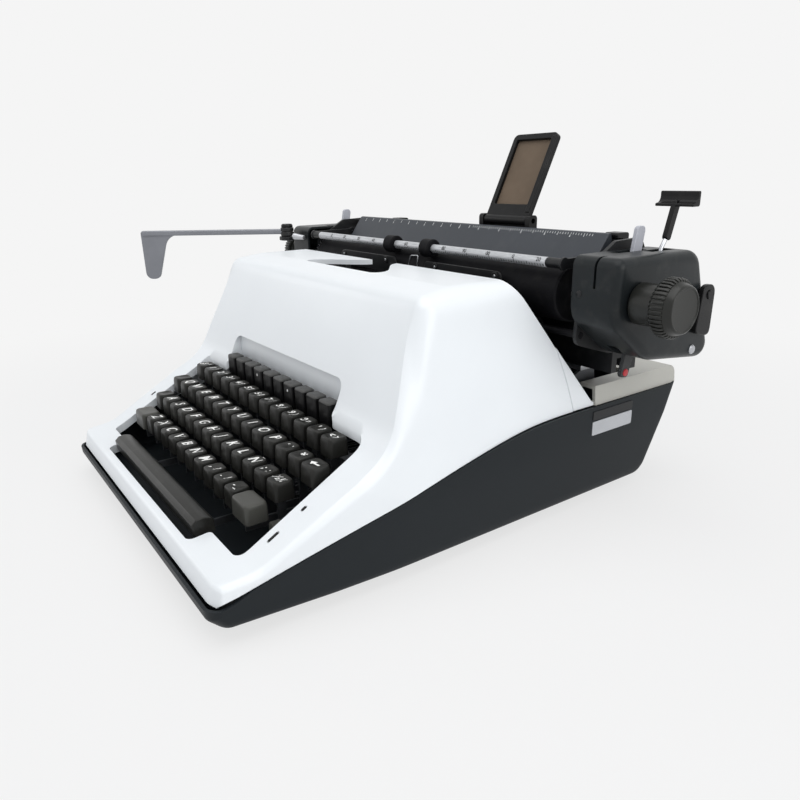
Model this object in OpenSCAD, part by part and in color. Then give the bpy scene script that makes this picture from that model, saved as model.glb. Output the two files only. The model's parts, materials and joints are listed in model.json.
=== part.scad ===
// Manual office typewriter: a hinged hood over a tub, a sliding carriage and sprung keys.
// +X is the typist's right, +Y the back, +Z up. The origin is on the desk, midway between the feet.
// Sizes are in millimetres and angles in degrees.

/* [Body] */
// Width of the casing at its belt line
body_w = 336; // [320:1:360]
// Width of the casing at its front edge
nose_w = 322; // [310:1:330]
// Depth of the casing from front to back
body_d = 406; // [400:1:420]
// Height of the belt line at the back
belt_rear = 83; // [80:0.5:84]
// Height of the belt line at the front
belt_front = 25; // [24:0.5:26]
// Thickness of the casing walls
wall = 3; // [2:0.25:3.5]
// Open seam between casing pieces
seam = 0.6; // [0.4:0.1:1]
// Height of the rear deck above the belt line
deck_h = 15; // [12:0.5:17]

/* [Feet] */
// Height of the rubber feet
foot_h = 8; // [7:0.5:9]
// Diameter of the rubber feet
foot_d = 30; // [24:1:36]
// Diameter of the screw bore in each foot
foot_bore = 6; // [4:0.5:8]
// Distance between the feet across the body
foot_span_x = 250; // [220:2:260]
// Distance between the feet from front to back
foot_span_y = 220; // [200:2:230]

/* [Hood] */
// Height of the hood's top
hood_top = 182; // [181:0.5:184]
// Width of the hood at its top
hood_top_w = 300; // [296:1:310]
// Width of the keyboard opening
opening_w = 272; // [270:1:280]
// Width of the notch around the space bar
notch_w = 192; // [188:1:200]
// Width of the recess around the tabulator keys
recess_w = 181; // [178:1:192]
// Width of the type opening at its front
type_gap_front = 106; // [96:1:116]
// Width of the type opening at its back
type_gap_back = 36; // [30:1:44]
// Diameter of the hood's hinge pins
hinge_pin = 4; // [3:0.5:4.5]

/* [Keyboard] */
// Distance between neighbouring keys in a row
key_pitch = 19; // [18.5:0.25:19.25]
// Width and depth of a key
key_size = 14.6; // [13:0.1:15]
// Height of a key
key_h = 13; // [11:0.5:14]
// Width of the shift keys
shift_w = 24; // [20:0.5:25]
// Thickness of the key levers
lever_t = 1.5; // [1.2:0.1:1.6]
// Diameter of the shaft that the key levers turn on
key_shaft = 6; // [5:0.5:7]
// Length of the space bar
space_len = 183; // [170:1:184]
// Depth of the space bar from front to back
space_depth = 15; // [13:0.5:16]
// Number of tabulator keys
tab_count = 10; // [8:1:10]
// Distance between neighbouring tabulator keys
tab_pitch = 18; // [17.5:0.1:18.4]

/* [Type] */
// Number of type bars in the fan
bar_count = 44; // [36:1:44]
// Length of a type bar from the segment's rim
bar_len = 60; // [54:1:62]
// Thickness of a type bar
bar_t = 1.1; // [0.9:0.05:1.2]
// Diameter of the ribbon spools
spool_d = 50; // [44:1:52]

/* [Carriage] */
// Radius of the platen
platen_r = 20.5; // [19.5:0.1:20.8]
// Length of the platen
platen_len = 330; // [324:1:334]
// Diameter of the platen shaft
platen_shaft = 8; // [6:0.5:9]
// Width of each end cover
cover_w = 36.5; // [32:0.5:40]
// Thickness of the end covers
cover_wall = 2.5; // [2:0.25:3]
// Diameter of the platen knobs
knob_d = 38; // [34:0.5:42]
// Length of the platen knobs
knob_len = 32; // [28:0.5:36]
// Number of flutes round a knob
knob_flutes = 24; // [18:1:30]
// Length of the plain hub behind each knob
hub_len = 11; // [8:0.5:13]
// Diameter of the paper bail
bail_d = 7; // [6:0.25:7.5]
// Diameter of the bail rollers
bail_roller_d = 15; // [13:0.5:15.5]
// Length of the return lever
return_len = 160; // [145:1:165]
// Height of the paper support
support_h = 75; // [60:1:84]
// Width of the paper support
support_w = 49; // [44:1:54]

/* [Hidden] */
$fn = 64;

// Fits and clearances
run_gap = 0.05;
slide_gap = 0.4;

// Casing lines
y_front = -203;
y_rear = y_front + body_d;
belt_flat_y = 40;
belt_curve = 1.18;
lip_step = 3.6;
lip_y = y_front + lip_step;
hood_end_y = 100;
deck_y = hood_end_y + 2;
hood_rim_y = 26;
draft_z = 60;
type_gap_y = -20;
key_front_y = -176;
key_rear_y = -84;
notch_y = -191;
recess_y = -69;
recess_top = 118.5;
hinge_y = y_front + 11.2;
hinge_z = belt_front + 4;
hinge_x = 120;
hood_swing = 275.5;

// Keyboard lines
lever_pivot = [70, 32];
lever_h = 7;
row1_x = -92.2;
row1 = [-150, 58];
row2 = [-132, 68.5];
row3 = [-113.5, 79];
row4 = [-94, 90];
row1_n = 10;
row2_x = row1_x - key_pitch / 2;
row3_x = row2_x - key_pitch / 4;
row4_x = row3_x - key_pitch / 2;
key_gap = 3;
shift_row = [row1[0] - 1.2, row1[1]];
shift_d = 16;
shift_out = [2.4, 3.4];
backspace_size = 17;

// First and last place in a row where a key of width w clears the opening's sides
function first_place(x, w) = ceil((w / 2 + key_gap - opening_w / 2 - x) / key_pitch);
function last_place(x, w) = floor((opening_w / 2 - key_gap - w / 2 - x) / key_pitch);
row1_from = first_place(row1_x - shift_out[0], shift_w) + 1;
row1_to = min(row1_n, last_place(row1_x + shift_out[1], shift_w)) - 1;
row2_from = first_place(row2_x, key_size) + 1;
row2_to = last_place(row2_x, key_size);
row3_from = first_place(row3_x, key_size);
row3_to = last_place(row3_x, backspace_size) - 1;
row4_from = first_place(row4_x, key_size);
row4_to = last_place(row4_x, key_size);
shift_left_x = row1_x + (row1_from - 1) * key_pitch - shift_out[0];
shift_right_x = row1_x + (row1_to + 1) * key_pitch + shift_out[1];
shift_lock_x = row2_x + (row2_from - 1) * key_pitch;
backspace_x = row3_x + (row3_to + 1) * key_pitch;
space_y = -178.5;
space_z = 49;
space_arm_x = [row1_x + 8 * key_pitch + 2.4, row1_x + key_pitch + 11.9];
tab_y = -78.6;
tab_top = 103;
tab_size = [14, 10, 22];
tab_stem = [3, 5];
tab_gap = 1;
tab_n = min(tab_count, floor((recess_w - 2 * tab_gap - tab_size[0]) / tab_pitch) + 1);

// Frame lines
frame_gap = 4;
frame_x = opening_w / 2 + frame_gap;
frame_t = 3;
floor_z = foot_h + wall;
rail_y = 118;
deck_side = 18;
rail_w = 16;
rail_z = 104;
rail_h = 16;
shelf_y = 84;
shelf_t = 4;
shelf_gap = 80;
frame_rear = y_rear - 63;

// Type lines
fan_centre = [0, 44, 138];
fan_tilt = 15;
fan_span = 150;
segment_r = 38;
segment_t = 9;
spool_at = [104, -8];
spool_z = 150;
spool_h = 14;
drum_at = [-96, y_rear - 53, 54];
drum_r = 28;
drum_w = 14;

// Carriage lines
car_x = -5;
platen_at = [77, 170];
end_in = 177.5;
end_t = 3;
cover_in = end_in + end_t;
cover_out = cover_in + cover_w;
bail_at = [58, 192];
bail_pivot = [104, 192];
bail_scale = 312;
arm_x = 170;
arm_t = 2;
stud_d = 6;
injector_at = [122, 172];
release_at = [103, 172];
margin_at = [116, 196];
margin_bar = [6, 8];
feed_r = 7;
feed_angle = -110;
feed_at = platen_at + (platen_r + feed_r + slide_gap) * [cos(feed_angle), sin(feed_angle)];
feed_shaft = 5;
support_x = 47;
ear_t = 5;
rim = 6;
support_hinge = [120, 213];
support_lean = 26;
support_pin = 4;
return_at = [-211, 44];
return_z = 191;
return_turn = 127;
release_lever_at = [150, 168];
tension_at = [108, 146];

function unit(v) = v / norm(v);
function belt(y) = belt_rear
    - (belt_rear - belt_front) * pow(max(0, (belt_flat_y - y) / (belt_flat_y - y_front)), belt_curve);
function xy(p) = [p[0], p[1]];
function turn(a, b, c) = sign((b[0] - a[0]) * (c[1] - b[1]) - (b[1] - a[1]) * (c[0] - b[0]));

// Points of the arc of radius r that rounds the corner b between a and c
function corner(a, b, c, r, n) =
    r <= 0.01 ? [xy(b)] :
    let (u = unit(xy(a) - xy(b)), v = unit(xy(c) - xy(b)), half = acos(u * v) / 2)
    half > 89.5 ? [xy(b)] :
    let (centre = xy(b) + unit(u + v) * r / sin(half),
         s = xy(b) + u * r / tan(half) - centre, e = xy(b) + v * r / tan(half) - centre,
         a0 = atan2(s[1], s[0]), raw = atan2(e[1], e[0]) - a0,
         sweep = raw > 180 ? raw - 360 : raw < -180 ? raw + 360 : raw)
    [for (i = [0 : n]) centre + r * [cos(a0 + sweep * i / n), sin(a0 + sweep * i / n)]];

// A closed outline whose corners [x, y, r] are rounded
function rounded(p, n = 5) = [for (i = [0 : len(p) - 1])
    each corner(p[(i + len(p) - 1) % len(p)], p[i], p[(i + 1) % len(p)], p[i][2], n)];

// An open line whose inner corners [x, y, r] are rounded
function rounded_line(p, n = 7) = [xy(p[0]),
    for (i = [1 : len(p) - 2]) each corner(p[i - 1], p[i], p[i + 1], p[i][2], n),
    xy(p[len(p) - 1])];

function right_of(a, b) = let (d = unit(xy(b) - xy(a))) [d[1], -d[0]];

// An open line moved sideways by d, to the right of its direction
function beside(p, d) = [for (i = [0 : len(p) - 1])
    let (last = len(p) - 1,
         m = right_of(p[max(0, i - 1)], p[max(1, i)]),
         k = right_of(p[min(i, last - 1)], p[min(i + 1, last)]),
         at = xy(p[i]) + d * (m + k) / (1 + m * k),
         bend = i == 0 || i == last ? 0 : turn(p[i - 1], p[i], p[i + 1]))
    [at[0], at[1], max(0, p[i][2] + d * bend)]];

// A closed outline moved sideways by d, to the right of its direction
function ring_beside(p, d) = [for (i = [0 : len(p) - 1])
    let (a = p[(i + len(p) - 1) % len(p)], c = p[(i + 1) % len(p)],
         m = right_of(a, p[i]), k = right_of(p[i], c), at = xy(p[i]) + d * (m + k) / (1 + m * k))
    [at[0], at[1], max(0, p[i][2] + d * turn(a, p[i], c))]];

// Corners of a rounded rectangle about the origin
function frame_rect(w, d, r) =
    [[-w / 2, -d / 2, r], [w / 2, -d / 2, r], [w / 2, d / 2, r], [-w / 2, d / 2, r]];

// An outline in the Y-Z plane, thickened along +X from x
module plate_x(x, t) translate([x, 0, 0]) rotate([90, 0, 90]) linear_extrude(t) children();

// A round bar along +X from x, at the point [y, z]
module bar_x(x, len, d, at) translate([x, at[0], at[1]]) rotate([0, 90, 0]) cylinder(d = d, h = len);

// Outline of the casing seen from above, inset by d, with its nose set back by step
module plan(d, step) {
    half = body_w / 2 - d;
    nose = nose_w / 2 - d - step;
    near = y_front + d + max(0, step - 1);
    r = 16 - d - step / 2;
    polygon(rounded([[-nose, near, r], [nose, near, r], [half, -80, 250],
                     [half, y_rear + 30, 0], [-half, y_rear + 30, 0], [-half, -80, 250]]));
}

// The casing between its sides, inset by d, with the given top height and width
module between_sides(d, top, top_w, foot_w, step = 0) {
    half = body_w / 2 - d;
    intersection() {
        translate([0, 0, -5]) linear_extrude(300) plan(d, step);
        rotate([90, 0, 0]) linear_extrude(700, center = true)
            polygon(rounded([[-foot_w / 2 + d, foot_h - 2, 0], [foot_w / 2 - d, foot_h - 2, 0],
                             [half, draft_z, 0], [top_w / 2 - d, top, 20], [-top_w / 2 + d, top, 20],
                             [-half, draft_z, 0]]));
        children();
    }
}

hood_line = [[lip_y, belt(lip_y) + seam, 0], [lip_y + 3, 38.2, 5], [-172, 41, 30], [-83, 91, 45],
             [-47, 178.3, 5], [-20, hood_top, 20], [hood_rim_y, hood_top, 0]];
tub_line = [[y_front, belt_front, 0], [y_front, 16, 6], [-125, foot_h, 90], [y_rear - 31, foot_h, 16],
            [y_rear, belt_rear, 0]];
belt_steps = [for (i = [0 : 12]) lip_y + (belt_flat_y - lip_y) * i / 12];

// The tub under the machine, open at the top
module base_tub() color([0.19, 0.21, 0.24]) {
    inner = beside(tub_line, -wall);
    top = [for (i = [len(belt_steps) - 1 : -1 : 0]) [belt_steps[i], belt(belt_steps[i])]];
    difference() {
        between_sides(0, belt_rear + 40, body_w, body_w - 8)
            plate_x(-body_w, 2 * body_w) polygon(concat(rounded_line(tub_line), top));
        between_sides(wall, belt_rear + 80, body_w, body_w - 8)
            plate_x(-body_w, 2 * body_w)
                polygon(concat([[inner[0][0], belt_front + 30]], rounded_line(inner),
                               [[y_rear - wall, belt_rear + 60]]));
        for (x = [-1, 1], y = [-1, 1])
            translate([x * foot_span_x / 2, y * foot_span_y / 2, 0]) cylinder(d = foot_bore, h = 40);
    }
    for (x = [-1, 1], y = [-1, 1])
        translate([x * foot_span_x / 2, y * foot_span_y / 2, floor_z - 0.5])
            difference() {
                cylinder(d = foot_bore + 6, h = 6.5);
                translate([0, 0, -1]) cylinder(d = foot_bore, h = 9);
            }
    for (s = [-1, 1])
        plate_x(s * hinge_x - 2, 4) difference() {
            union() {
                translate([hinge_y, hinge_z]) circle(d = hinge_pin + 2);
                polygon([[hinge_y - 2.3, hinge_z - 1.8], [hinge_y + 6, foot_h + 8],
                         [hinge_y + 14, foot_h + 6], [hinge_y + 2.3, hinge_z + 1.8]]);
            }
            translate([hinge_y, hinge_z]) circle(d = hinge_pin);
        }
}

// Four rubber feet, bored for screws
module rubber_feet() color([0.06, 0.06, 0.06])
    for (x = [-1, 1], y = [-1, 1])
        translate([x * foot_span_x / 2, y * foot_span_y / 2, 0])
            difference() {
                cylinder(d = foot_d, h = foot_h);
                translate([0, 0, -1]) cylinder(d = foot_bore, h = foot_h + 2);
            }

// The two steel side plates that carry the works
module side_frames() color([0.36, 0.37, 0.39])
    for (x = [-frame_x - frame_t, frame_x])
        plate_x(x, frame_t) difference() {
            polygon(rounded([[-92, floor_z, 0], [frame_rear, floor_z, 0], [rail_y + rail_w / 2, rail_z, 0],
                             [rail_y - rail_w / 2, rail_z, 0], [80, 92, 10], [30, 96, 10], [-40, 76, 10],
                             [-92, 60, 8]]));
            translate(lever_pivot) circle(d = key_shaft);
            for (y = [-55, 10]) translate([y, 36]) circle(d = 26);
        }

// Ties between the side plates, the key lever shaft, the basket's shelf and the spring drum's stud
module frame_ties() color([0.45, 0.46, 0.48]) {
    bar_x(-frame_x - frame_t, 2 * (frame_x + frame_t), key_shaft, lever_pivot);
    translate([drum_at[0] - 10, drum_at[1] + 2, floor_z]) cube([20, 4, drum_at[2] + 8 - floor_z]);
    translate([drum_at[0], drum_at[1] + 3, drum_at[2]]) rotate([90, 0, 0]) cylinder(d = 8, h = drum_w + 6);
    for (at = [[-84, 16.5], [frame_rear - 12, 24], [104, 92]]) bar_x(-frame_x, 2 * frame_x, 8, at);
    difference() {
        translate([-frame_x, shelf_y, 84]) cube([2 * frame_x, shelf_t, 30]);
        translate([-shelf_gap / 2, shelf_y - 4, 91]) cube([shelf_gap, shelf_t + 8, 40]);
    }
}

lever_xs = concat([for (i = [row1_from : row1_to]) row1_x + i * key_pitch],
                  [for (i = [row2_from - 1 : row2_to]) row2_x + i * key_pitch],
                  [for (i = [row3_from : row3_to + 1]) row3_x + i * key_pitch],
                  [for (i = [row4_from : row4_to]) row4_x + i * key_pitch],
                  [shift_left_x, shift_right_x - 2.8], space_arm_x);

// The comb that keeps the key levers apart
module key_comb() color([0.30, 0.31, 0.33]) difference() {
    translate([-frame_x, -63, floor_z]) cube([2 * frame_x, 2, 39]);
    for (x = lever_xs)
        translate([x - lever_t / 2 - slide_gap, -70, 18]) cube([lever_t + 2 * slide_gap, 16, 26]);
}

// The slotted bar that guides the tabulator keys
module tab_key_guide() color([0.30, 0.31, 0.33]) difference() {
    translate([-frame_x, tab_y - 5, 58]) cube([2 * frame_x, 10, 10]);
    for (i = [0 : tab_n - 1])
        translate([(i - (tab_n - 1) / 2) * tab_pitch - tab_stem[0] / 2 - slide_gap,
                   tab_y - tab_stem[1] / 2 - slide_gap, 50])
            cube([tab_stem[0] + 2 * slide_gap, tab_stem[1] + 2 * slide_gap, 30]);
}

// The fixed rail that the carriage runs on
module carriage_rail() color([0.62, 0.63, 0.65])
    translate([-frame_x - frame_t, rail_y - rail_w / 2, rail_z])
        cube([2 * (frame_x + frame_t), rail_w, rail_h]);

// The pale deck behind the hood, with an opening under the carriage and cheeks up to the hood's swing
module rear_deck() color([0.84, 0.83, 0.80]) {
    top = belt_rear + deck_h;
    difference() {
        between_sides(0, hood_top + 60, hood_top_w, body_w)
            plate_x(-body_w, 2 * body_w)
                polygon(rounded([[deck_y, belt_rear, 0], [y_rear, belt_rear, 0],
                                 [y_rear, top, 7], [deck_y, top, 0]]));
        between_sides(wall, hood_top + 60, hood_top_w, body_w)
            translate([-body_w, deck_y - 5, belt_rear - 5])
                cube([2 * body_w, y_rear - wall - deck_y + 5, deck_h + 5 - wall]);
        translate([-body_w / 2 + deck_side, deck_y - 5, belt_rear])
            cube([body_w - 2 * deck_side, y_rear - 46 - deck_y + 5, 60]);
    }
    difference() {
        between_sides(0, hood_top, hood_top_w, body_w + 10, lip_step)
            plate_x(-body_w, 2 * body_w) difference() {
                polygon([[hood_rim_y, belt_rear], [deck_y + 1, belt_rear], [deck_y + 1, belt_rear + wall],
                         [hood_end_y, belt_rear + wall], [hood_rim_y, hood_top]]);
                translate([hinge_y, hinge_z]) circle(r = hood_swing + seam, $fn = 360);
            }
        between_sides(wall, hood_top, hood_top_w, body_w + 10, lip_step)
            translate([-body_w, 0, 0]) cube([2 * body_w, body_d, hood_top]);
    }
}

// The two pins in the tub's nose that the hood turns on
module hood_hinge_pins() color([0.62, 0.63, 0.65])
    for (s = [-1, 1]) bar_x(s * (hinge_x - 4) - 6, 12, hinge_pin, [hinge_y, hinge_z]);

// Two plain plates on the right side of the tub
module label_plates() color([0.55, 0.56, 0.58]) {
    translate([body_w / 2, y_rear - 106, draft_z + 0.5]) cube([0.6, 47, 11]);
    translate([body_w / 2, y_rear - 106, draft_z + 12.5]) cube([0.6, 47, 7]);
}

// The two arms beside the printing point, on posts from the shelf
module card_holder() color([0.08, 0.08, 0.09])
    for (s = [-1, 1]) {
        translate([0, 53.4, 0]) rotate([90, 0, 0]) linear_extrude(1.6)
            polygon(rounded([[s * 17, 168, 2], [s * 112, 168, 5], [s * 112, 182, 5], [s * 22, 182, 4]]));
        translate([s * 100 - 5, 51.8, 90]) cube([10, 1.6, 80]);
        translate([s * 100 - 5, 51.8, 90]) cube([10, shelf_y - 51.8, 3]);
        translate([s * 27 - 2, 51, 160]) cube([4, 0.8, 16]);
    }

// The two round cups under the ribbon spools, on posts from the tub
module ribbon_cups() color([0.10, 0.10, 0.11])
    for (s = [-1, 1])
        translate([s * spool_at[0], spool_at[1], 0]) {
            translate([0, 0, spool_z - 4]) difference() {
                cylinder(d = spool_d + 8, h = 10);
                translate([0, 0, 2]) cylinder(d = spool_d + 4, h = 12);
            }
            translate([0, 0, spool_z - 2.5]) cylinder(d = 5, h = spool_h + 8);
            translate([s * 20 - 4, -4, 74]) cube([8, 8, spool_z - 77]);
            translate([s > 0 ? 16 : -frame_x + spool_at[0], -4, 74])
                cube([frame_x - spool_at[0] - 16, 8, 4]);
        }

// The inked ribbon between the spools
module ribbon_strip() color([0.05, 0.05, 0.06]) {
    start = [spool_at[0] - 14, spool_at[1] + spool_d / 2 - 1.5];
    post = [26, 50.6];
    span = norm(start - post);
    lean = atan2(start[1] - post[1], start[0] - post[0]);
    for (s = [0, 1]) mirror([s, 0, 0])
        translate([post[0], post[1], 158]) rotate([0, 0, lean]) cube([span, 0.4, 12]);
    translate([-post[0], post[1], 158]) cube([2 * post[0], 0.4, 12]);
}

// The bell that rings before the margin
module margin_bell() color([0.75, 0.72, 0.62]) translate([104, y_rear - 53, floor_z]) {
    cylinder(d = 8, h = 30);
    translate([0, 0, 24]) difference() {
        sphere(r = 22);
        sphere(r = 20);
        translate([0, 0, -30]) cube(60, center = true);
    }
    translate([0, 0, 29]) cylinder(d = 8, h = 16);
}

// The hinged hood: front lip, keyboard surround, fascia, top and sides in one shell
module hood() color([0.91, 0.93, 0.94]) {
    inner = beside(hood_line, wall);
    last = len(inner) - 1;
    under = [for (i = [len(belt_steps) - 1 : -1 : 0]) [belt_steps[i], belt(belt_steps[i]) + seam]];
    difference() {
        between_sides(0, hood_top, hood_top_w, body_w + 10, lip_step)
            plate_x(-body_w, 2 * body_w) intersection() {
                polygon(concat(rounded_line(hood_line), [[hood_end_y, belt_rear + seam]], under));
                translate([hinge_y, hinge_z]) circle(r = hood_swing, $fn = 360);
            }
        between_sides(wall, hood_top - wall, hood_top_w, body_w + 10, lip_step)
            plate_x(-body_w, 2 * body_w)
                polygon(concat([[inner[0][0], 0]], rounded_line(inner),
                               [[y_rear, inner[last][1]], [y_rear, 0]]));
        translate([-opening_w / 2, key_front_y, 20])
            linear_extrude(120) polygon(rounded([[0, 0, 6], [opening_w, 0, 6],
                [opening_w, key_rear_y - key_front_y, 10], [0, key_rear_y - key_front_y, 10]]));
        translate([-notch_w / 2, notch_y, 20]) cube([notch_w, 30, 40]);
        translate([-recess_w / 2, key_rear_y - 10, 60])
            cube([recess_w, recess_y - key_rear_y + 10, recess_top - 60]);
        translate([0, 0, hood_top - 20]) linear_extrude(40)
            polygon(rounded([[-type_gap_front / 2, type_gap_y, 6], [type_gap_front / 2, type_gap_y, 6],
                             [type_gap_back / 2, hood_rim_y + 1, 0],
                             [type_gap_back / 2, hood_rim_y + 30, 0],
                             [-type_gap_back / 2, hood_rim_y + 30, 0],
                             [-type_gap_back / 2, hood_rim_y + 1, 0]]));
        for (at = [[opening_w / 2 + 7, -155, 8], [opening_w / 2 + 7, -134, 4],
                   [-opening_w / 2 - 12, -135, 5]])
            translate([at[0] - 1.2, at[1] - at[2] / 2, 20]) cube([2.4, at[2], 80]);
    }
    translate([-recess_w / 2 - 3, recess_y, 98.5]) cube([recess_w + 6, 2.5, recess_top - 96]);
    for (s = [-1, 1])
        plate_x(s * (hinge_x - 7) - 2, 4) difference() {
            polygon(rounded([[hinge_y - 3.2, hinge_z - 3.6, 3], [hinge_y + 3.6, hinge_z - 3.6, 3],
                             [hinge_y + 6, 37, 0], [hinge_y - 2, 37, 0]]));
            translate([hinge_y, hinge_z]) circle(d = hinge_pin + 2 * run_gap);
        }
}

function bar_angle(i) = -90 + fan_span * (i / (bar_count - 1) - 0.5);
function polar(r, a, side = 0) = r * [cos(a), sin(a)] + side * [-sin(a), cos(a)];
function arc(r, a0, a1, n = 24) = [for (i = [0 : n]) polar(r, a0 + (a1 - a0) * i / n)];

// The slotted segment that the type bars turn in, its foot, and its runner in the shelf's notch
module type_segment() color([0.50, 0.51, 0.53]) {
    first = bar_angle(0) - 4;
    last = bar_angle(bar_count - 1) + 4;
    half = bar_t / 2;
    inner_r = segment_r - 14;
    slot_r = segment_r - 8;
    teeth = [for (i = [0 : bar_count - 1], p = [[segment_r, -half], [slot_r, -half], [slot_r, half],
                                                [segment_r, half]]) polar(p[0], bar_angle(i), p[1])];
    translate(fan_centre) rotate([fan_tilt, 0, 0]) {
        translate([0, 0, -segment_t]) linear_extrude(segment_t)
            polygon(concat([polar(segment_r, first)], teeth, [polar(segment_r, last)],
                           arc(inner_r, last, first)));
        translate([0, 0, -15]) linear_extrude(17 - segment_t)
            polygon(concat(arc(slot_r - 0.5, first, last), arc(inner_r + 0.5, last, first)));
        for (a = [-50, 0, 50])
            rotate([0, 0, -90 + a]) translate([inner_r + 1, -4, -15]) cube([bar_len + 6, 8, 3]);
    }
    translate([-6, 16, 104]) cube([12, 26, 14]);
    translate([-14, 34, 100]) cube([28, shelf_y - 34, 12]);
    translate([-shelf_gap / 2 + slide_gap, shelf_y - slide_gap - 4, 100])
        cube([shelf_gap - 2 * slide_gap, shelf_t + 2 * slide_gap + 8, 12]);
    for (y = [shelf_y - slide_gap - 4, shelf_y + shelf_t + slide_gap])
        translate([-shelf_gap / 2 - 6, y, 100]) cube([shelf_gap + 12, 4, 12]);
    translate([-14, 45, 110]) difference() {
        cube([28, 4, 56]);
        translate([11, -1, 42]) cube([6, 6, 30]);
    }
}

// A fan of flat bars from radius r0, about the segment's centre
module bar_fan(r0, len, t, h)
    for (i = [0 : bar_count - 1])
        rotate([0, 0, bar_angle(i)])
            translate([r0, -t / 2, -h / 2]) cube([len, t, h]);

// The fan of type bars, each with its type block
module type_bars() color([0.56, 0.57, 0.59])
    translate(fan_centre) rotate([fan_tilt, 0, 0]) {
        translate([0, 0, -4]) bar_fan(segment_r - 8, 8 + bar_len, bar_t, 4);
        translate([0, 0, -2.2]) bar_fan(segment_r + bar_len - 4, 4, 2.6, 9);
    }

// The felt rest under the type bars
module type_rest() color([0.25, 0.10, 0.09])
    translate(fan_centre) rotate([fan_tilt, 0, 0]) {
        rotate([0, 0, -90 - fan_span / 2 - 4]) rotate_extrude(angle = fan_span + 8)
            translate([segment_r + bar_len - 16, -12]) square([8, 6]);
    }

module spool(s) color([0.12, 0.12, 0.13])
    translate([s * spool_at[0], spool_at[1], spool_z]) difference() {
        union() {
            cylinder(d = spool_d, h = 1.5);
            cylinder(d = spool_d - 8, h = spool_h);
            translate([0, 0, spool_h - 1.5]) cylinder(d = spool_d, h = 1.5);
        }
        translate([0, 0, -1]) cylinder(d = 5 + 2 * run_gap, h = spool_h + 2);
    }

// The two ribbon spools
module ribbon_spool_left() spool(-1);
module ribbon_spool_right() spool(1);

// The spring drum that draws the carriage
module draw_drum() color([0.40, 0.41, 0.43])
    translate(drum_at) rotate([90, 0, 0]) difference() {
        union() {
            cylinder(r = drum_r + 2, h = 1.5);
            cylinder(r = drum_r, h = drum_w);
            translate([0, 0, drum_w - 1.5]) cylinder(r = drum_r + 2, h = 1.5);
        }
        translate([0, 0, -1]) cylinder(d = 8 + 2 * run_gap, h = 20);
    }

// A key with a dished top, its top centre at the origin
module key(w, d, h) difference() {
    translate([0, 0, -h]) linear_extrude(h) polygon(rounded(frame_rect(w, d, 3), 3));
    translate([0, 3, 27]) sphere(r = 28);
}

// A key lever of one row: hub, arm and stem up to the key's underside
module lever(x, row, h) plate_x(x - lever_t / 2, lever_t) {
    y = row[0];
    difference() {
        union() {
            polygon([[lever_pivot[0], 27], [lever_pivot[0], 37], [y + 3, 41], [y + 3, row[1] - h],
                     [y - 3, row[1] - h], [y - 3, 41 - lever_h]]);
            translate(lever_pivot) circle(d = key_shaft + 6);
        }
        translate(lever_pivot) circle(d = key_shaft + 2 * run_gap);
    }
}

module key_row(x0, from, to, row) color([0.20, 0.20, 0.19])
    for (i = [from : to])
        translate([x0 + i * key_pitch, row[0], row[1]]) key(key_size, key_size, key_h);

module lever_row(x0, from, to, row) color([0.45, 0.46, 0.48])
    for (i = [from : to]) lever(x0 + i * key_pitch, row, key_h);

// Four rows of keys and their levers
module digit_keys() key_row(row4_x, row4_from, row4_to, row4);
module digit_levers() lever_row(row4_x, row4_from, row4_to, row4);
module upper_keys() key_row(row3_x, row3_from, row3_to, row3);
module upper_levers() lever_row(row3_x, row3_from, row3_to, row3);
module home_keys() key_row(row2_x, row2_from, row2_to, row2);
module home_levers() lever_row(row2_x, row2_from, row2_to, row2);
module lower_keys() key_row(row1_x, row1_from, row1_to, row1);
module lower_levers() lever_row(row1_x, row1_from, row1_to, row1);

// The space bar
module space_bar() color([0.18, 0.18, 0.18]) {
    near = space_y - space_depth / 2;
    far = space_y + space_depth / 2;
    plate_x(-space_len / 2, space_len)
        polygon(rounded([[near, space_z - 12, 1], [far, space_z - 12, 1], [far, space_z, 3],
                         [near + 3, space_z - 1, 1], [near, space_z - 6, 1]]));
}

// The two arms of the space bar
module space_bar_arms() color([0.45, 0.46, 0.48])
    for (x = space_arm_x) plate_x(x - lever_t / 2, lever_t) difference() {
        union() {
            polygon([[lever_pivot[0], 27], [lever_pivot[0], 37], [-100, 33], [space_y + 40, space_z - 19],
                     [space_y + 17, space_z - 19], [space_y + 12, space_z - 12],
                     [space_y - 3, space_z - 12], [space_y - 3, space_z - 18],
                     [space_y + 14, space_z - 24.5], [space_y + 40, space_z - 24.5], [-100, 27]]);
            translate(lever_pivot) circle(d = key_shaft + 6);
        }
        translate(lever_pivot) circle(d = key_shaft + 2 * run_gap);
    }

module wide_key(x, lever_x, row, w, d) {
    translate([x, row[0], row[1]]) key(w, d, key_h);
    lever(lever_x, row, key_h);
}

// Shift keys, shift lock and backspace, each with its own lever
module shift_key_left() color([0.20, 0.20, 0.19])
    wide_key(shift_left_x, shift_left_x, shift_row, shift_w, shift_d);
module shift_key_right() color([0.20, 0.20, 0.19])
    wide_key(shift_right_x, shift_right_x - 2.8, shift_row, shift_w, shift_d);
module shift_lock_key() color([0.20, 0.20, 0.19])
    wide_key(shift_lock_x, shift_lock_x, row2, key_size, key_size);
module backspace_key() color([0.20, 0.20, 0.19])
    wide_key(backspace_x, backspace_x, row3, backspace_size, key_size);

// The row of tabulator keys on their stems
module tab_keys() color([0.14, 0.14, 0.14])
    for (i = [0 : tab_n - 1])
        translate([(i - (tab_n - 1) / 2) * tab_pitch, tab_y, 0]) {
            translate([-tab_size[0] / 2, -tab_size[1] / 2, tab_top - tab_size[2]]) cube(tab_size);
            translate([-tab_stem[0] / 2, -tab_stem[1] / 2, 52])
                cube([tab_stem[0], tab_stem[1], tab_top - tab_size[2] - 52]);
        }

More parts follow.
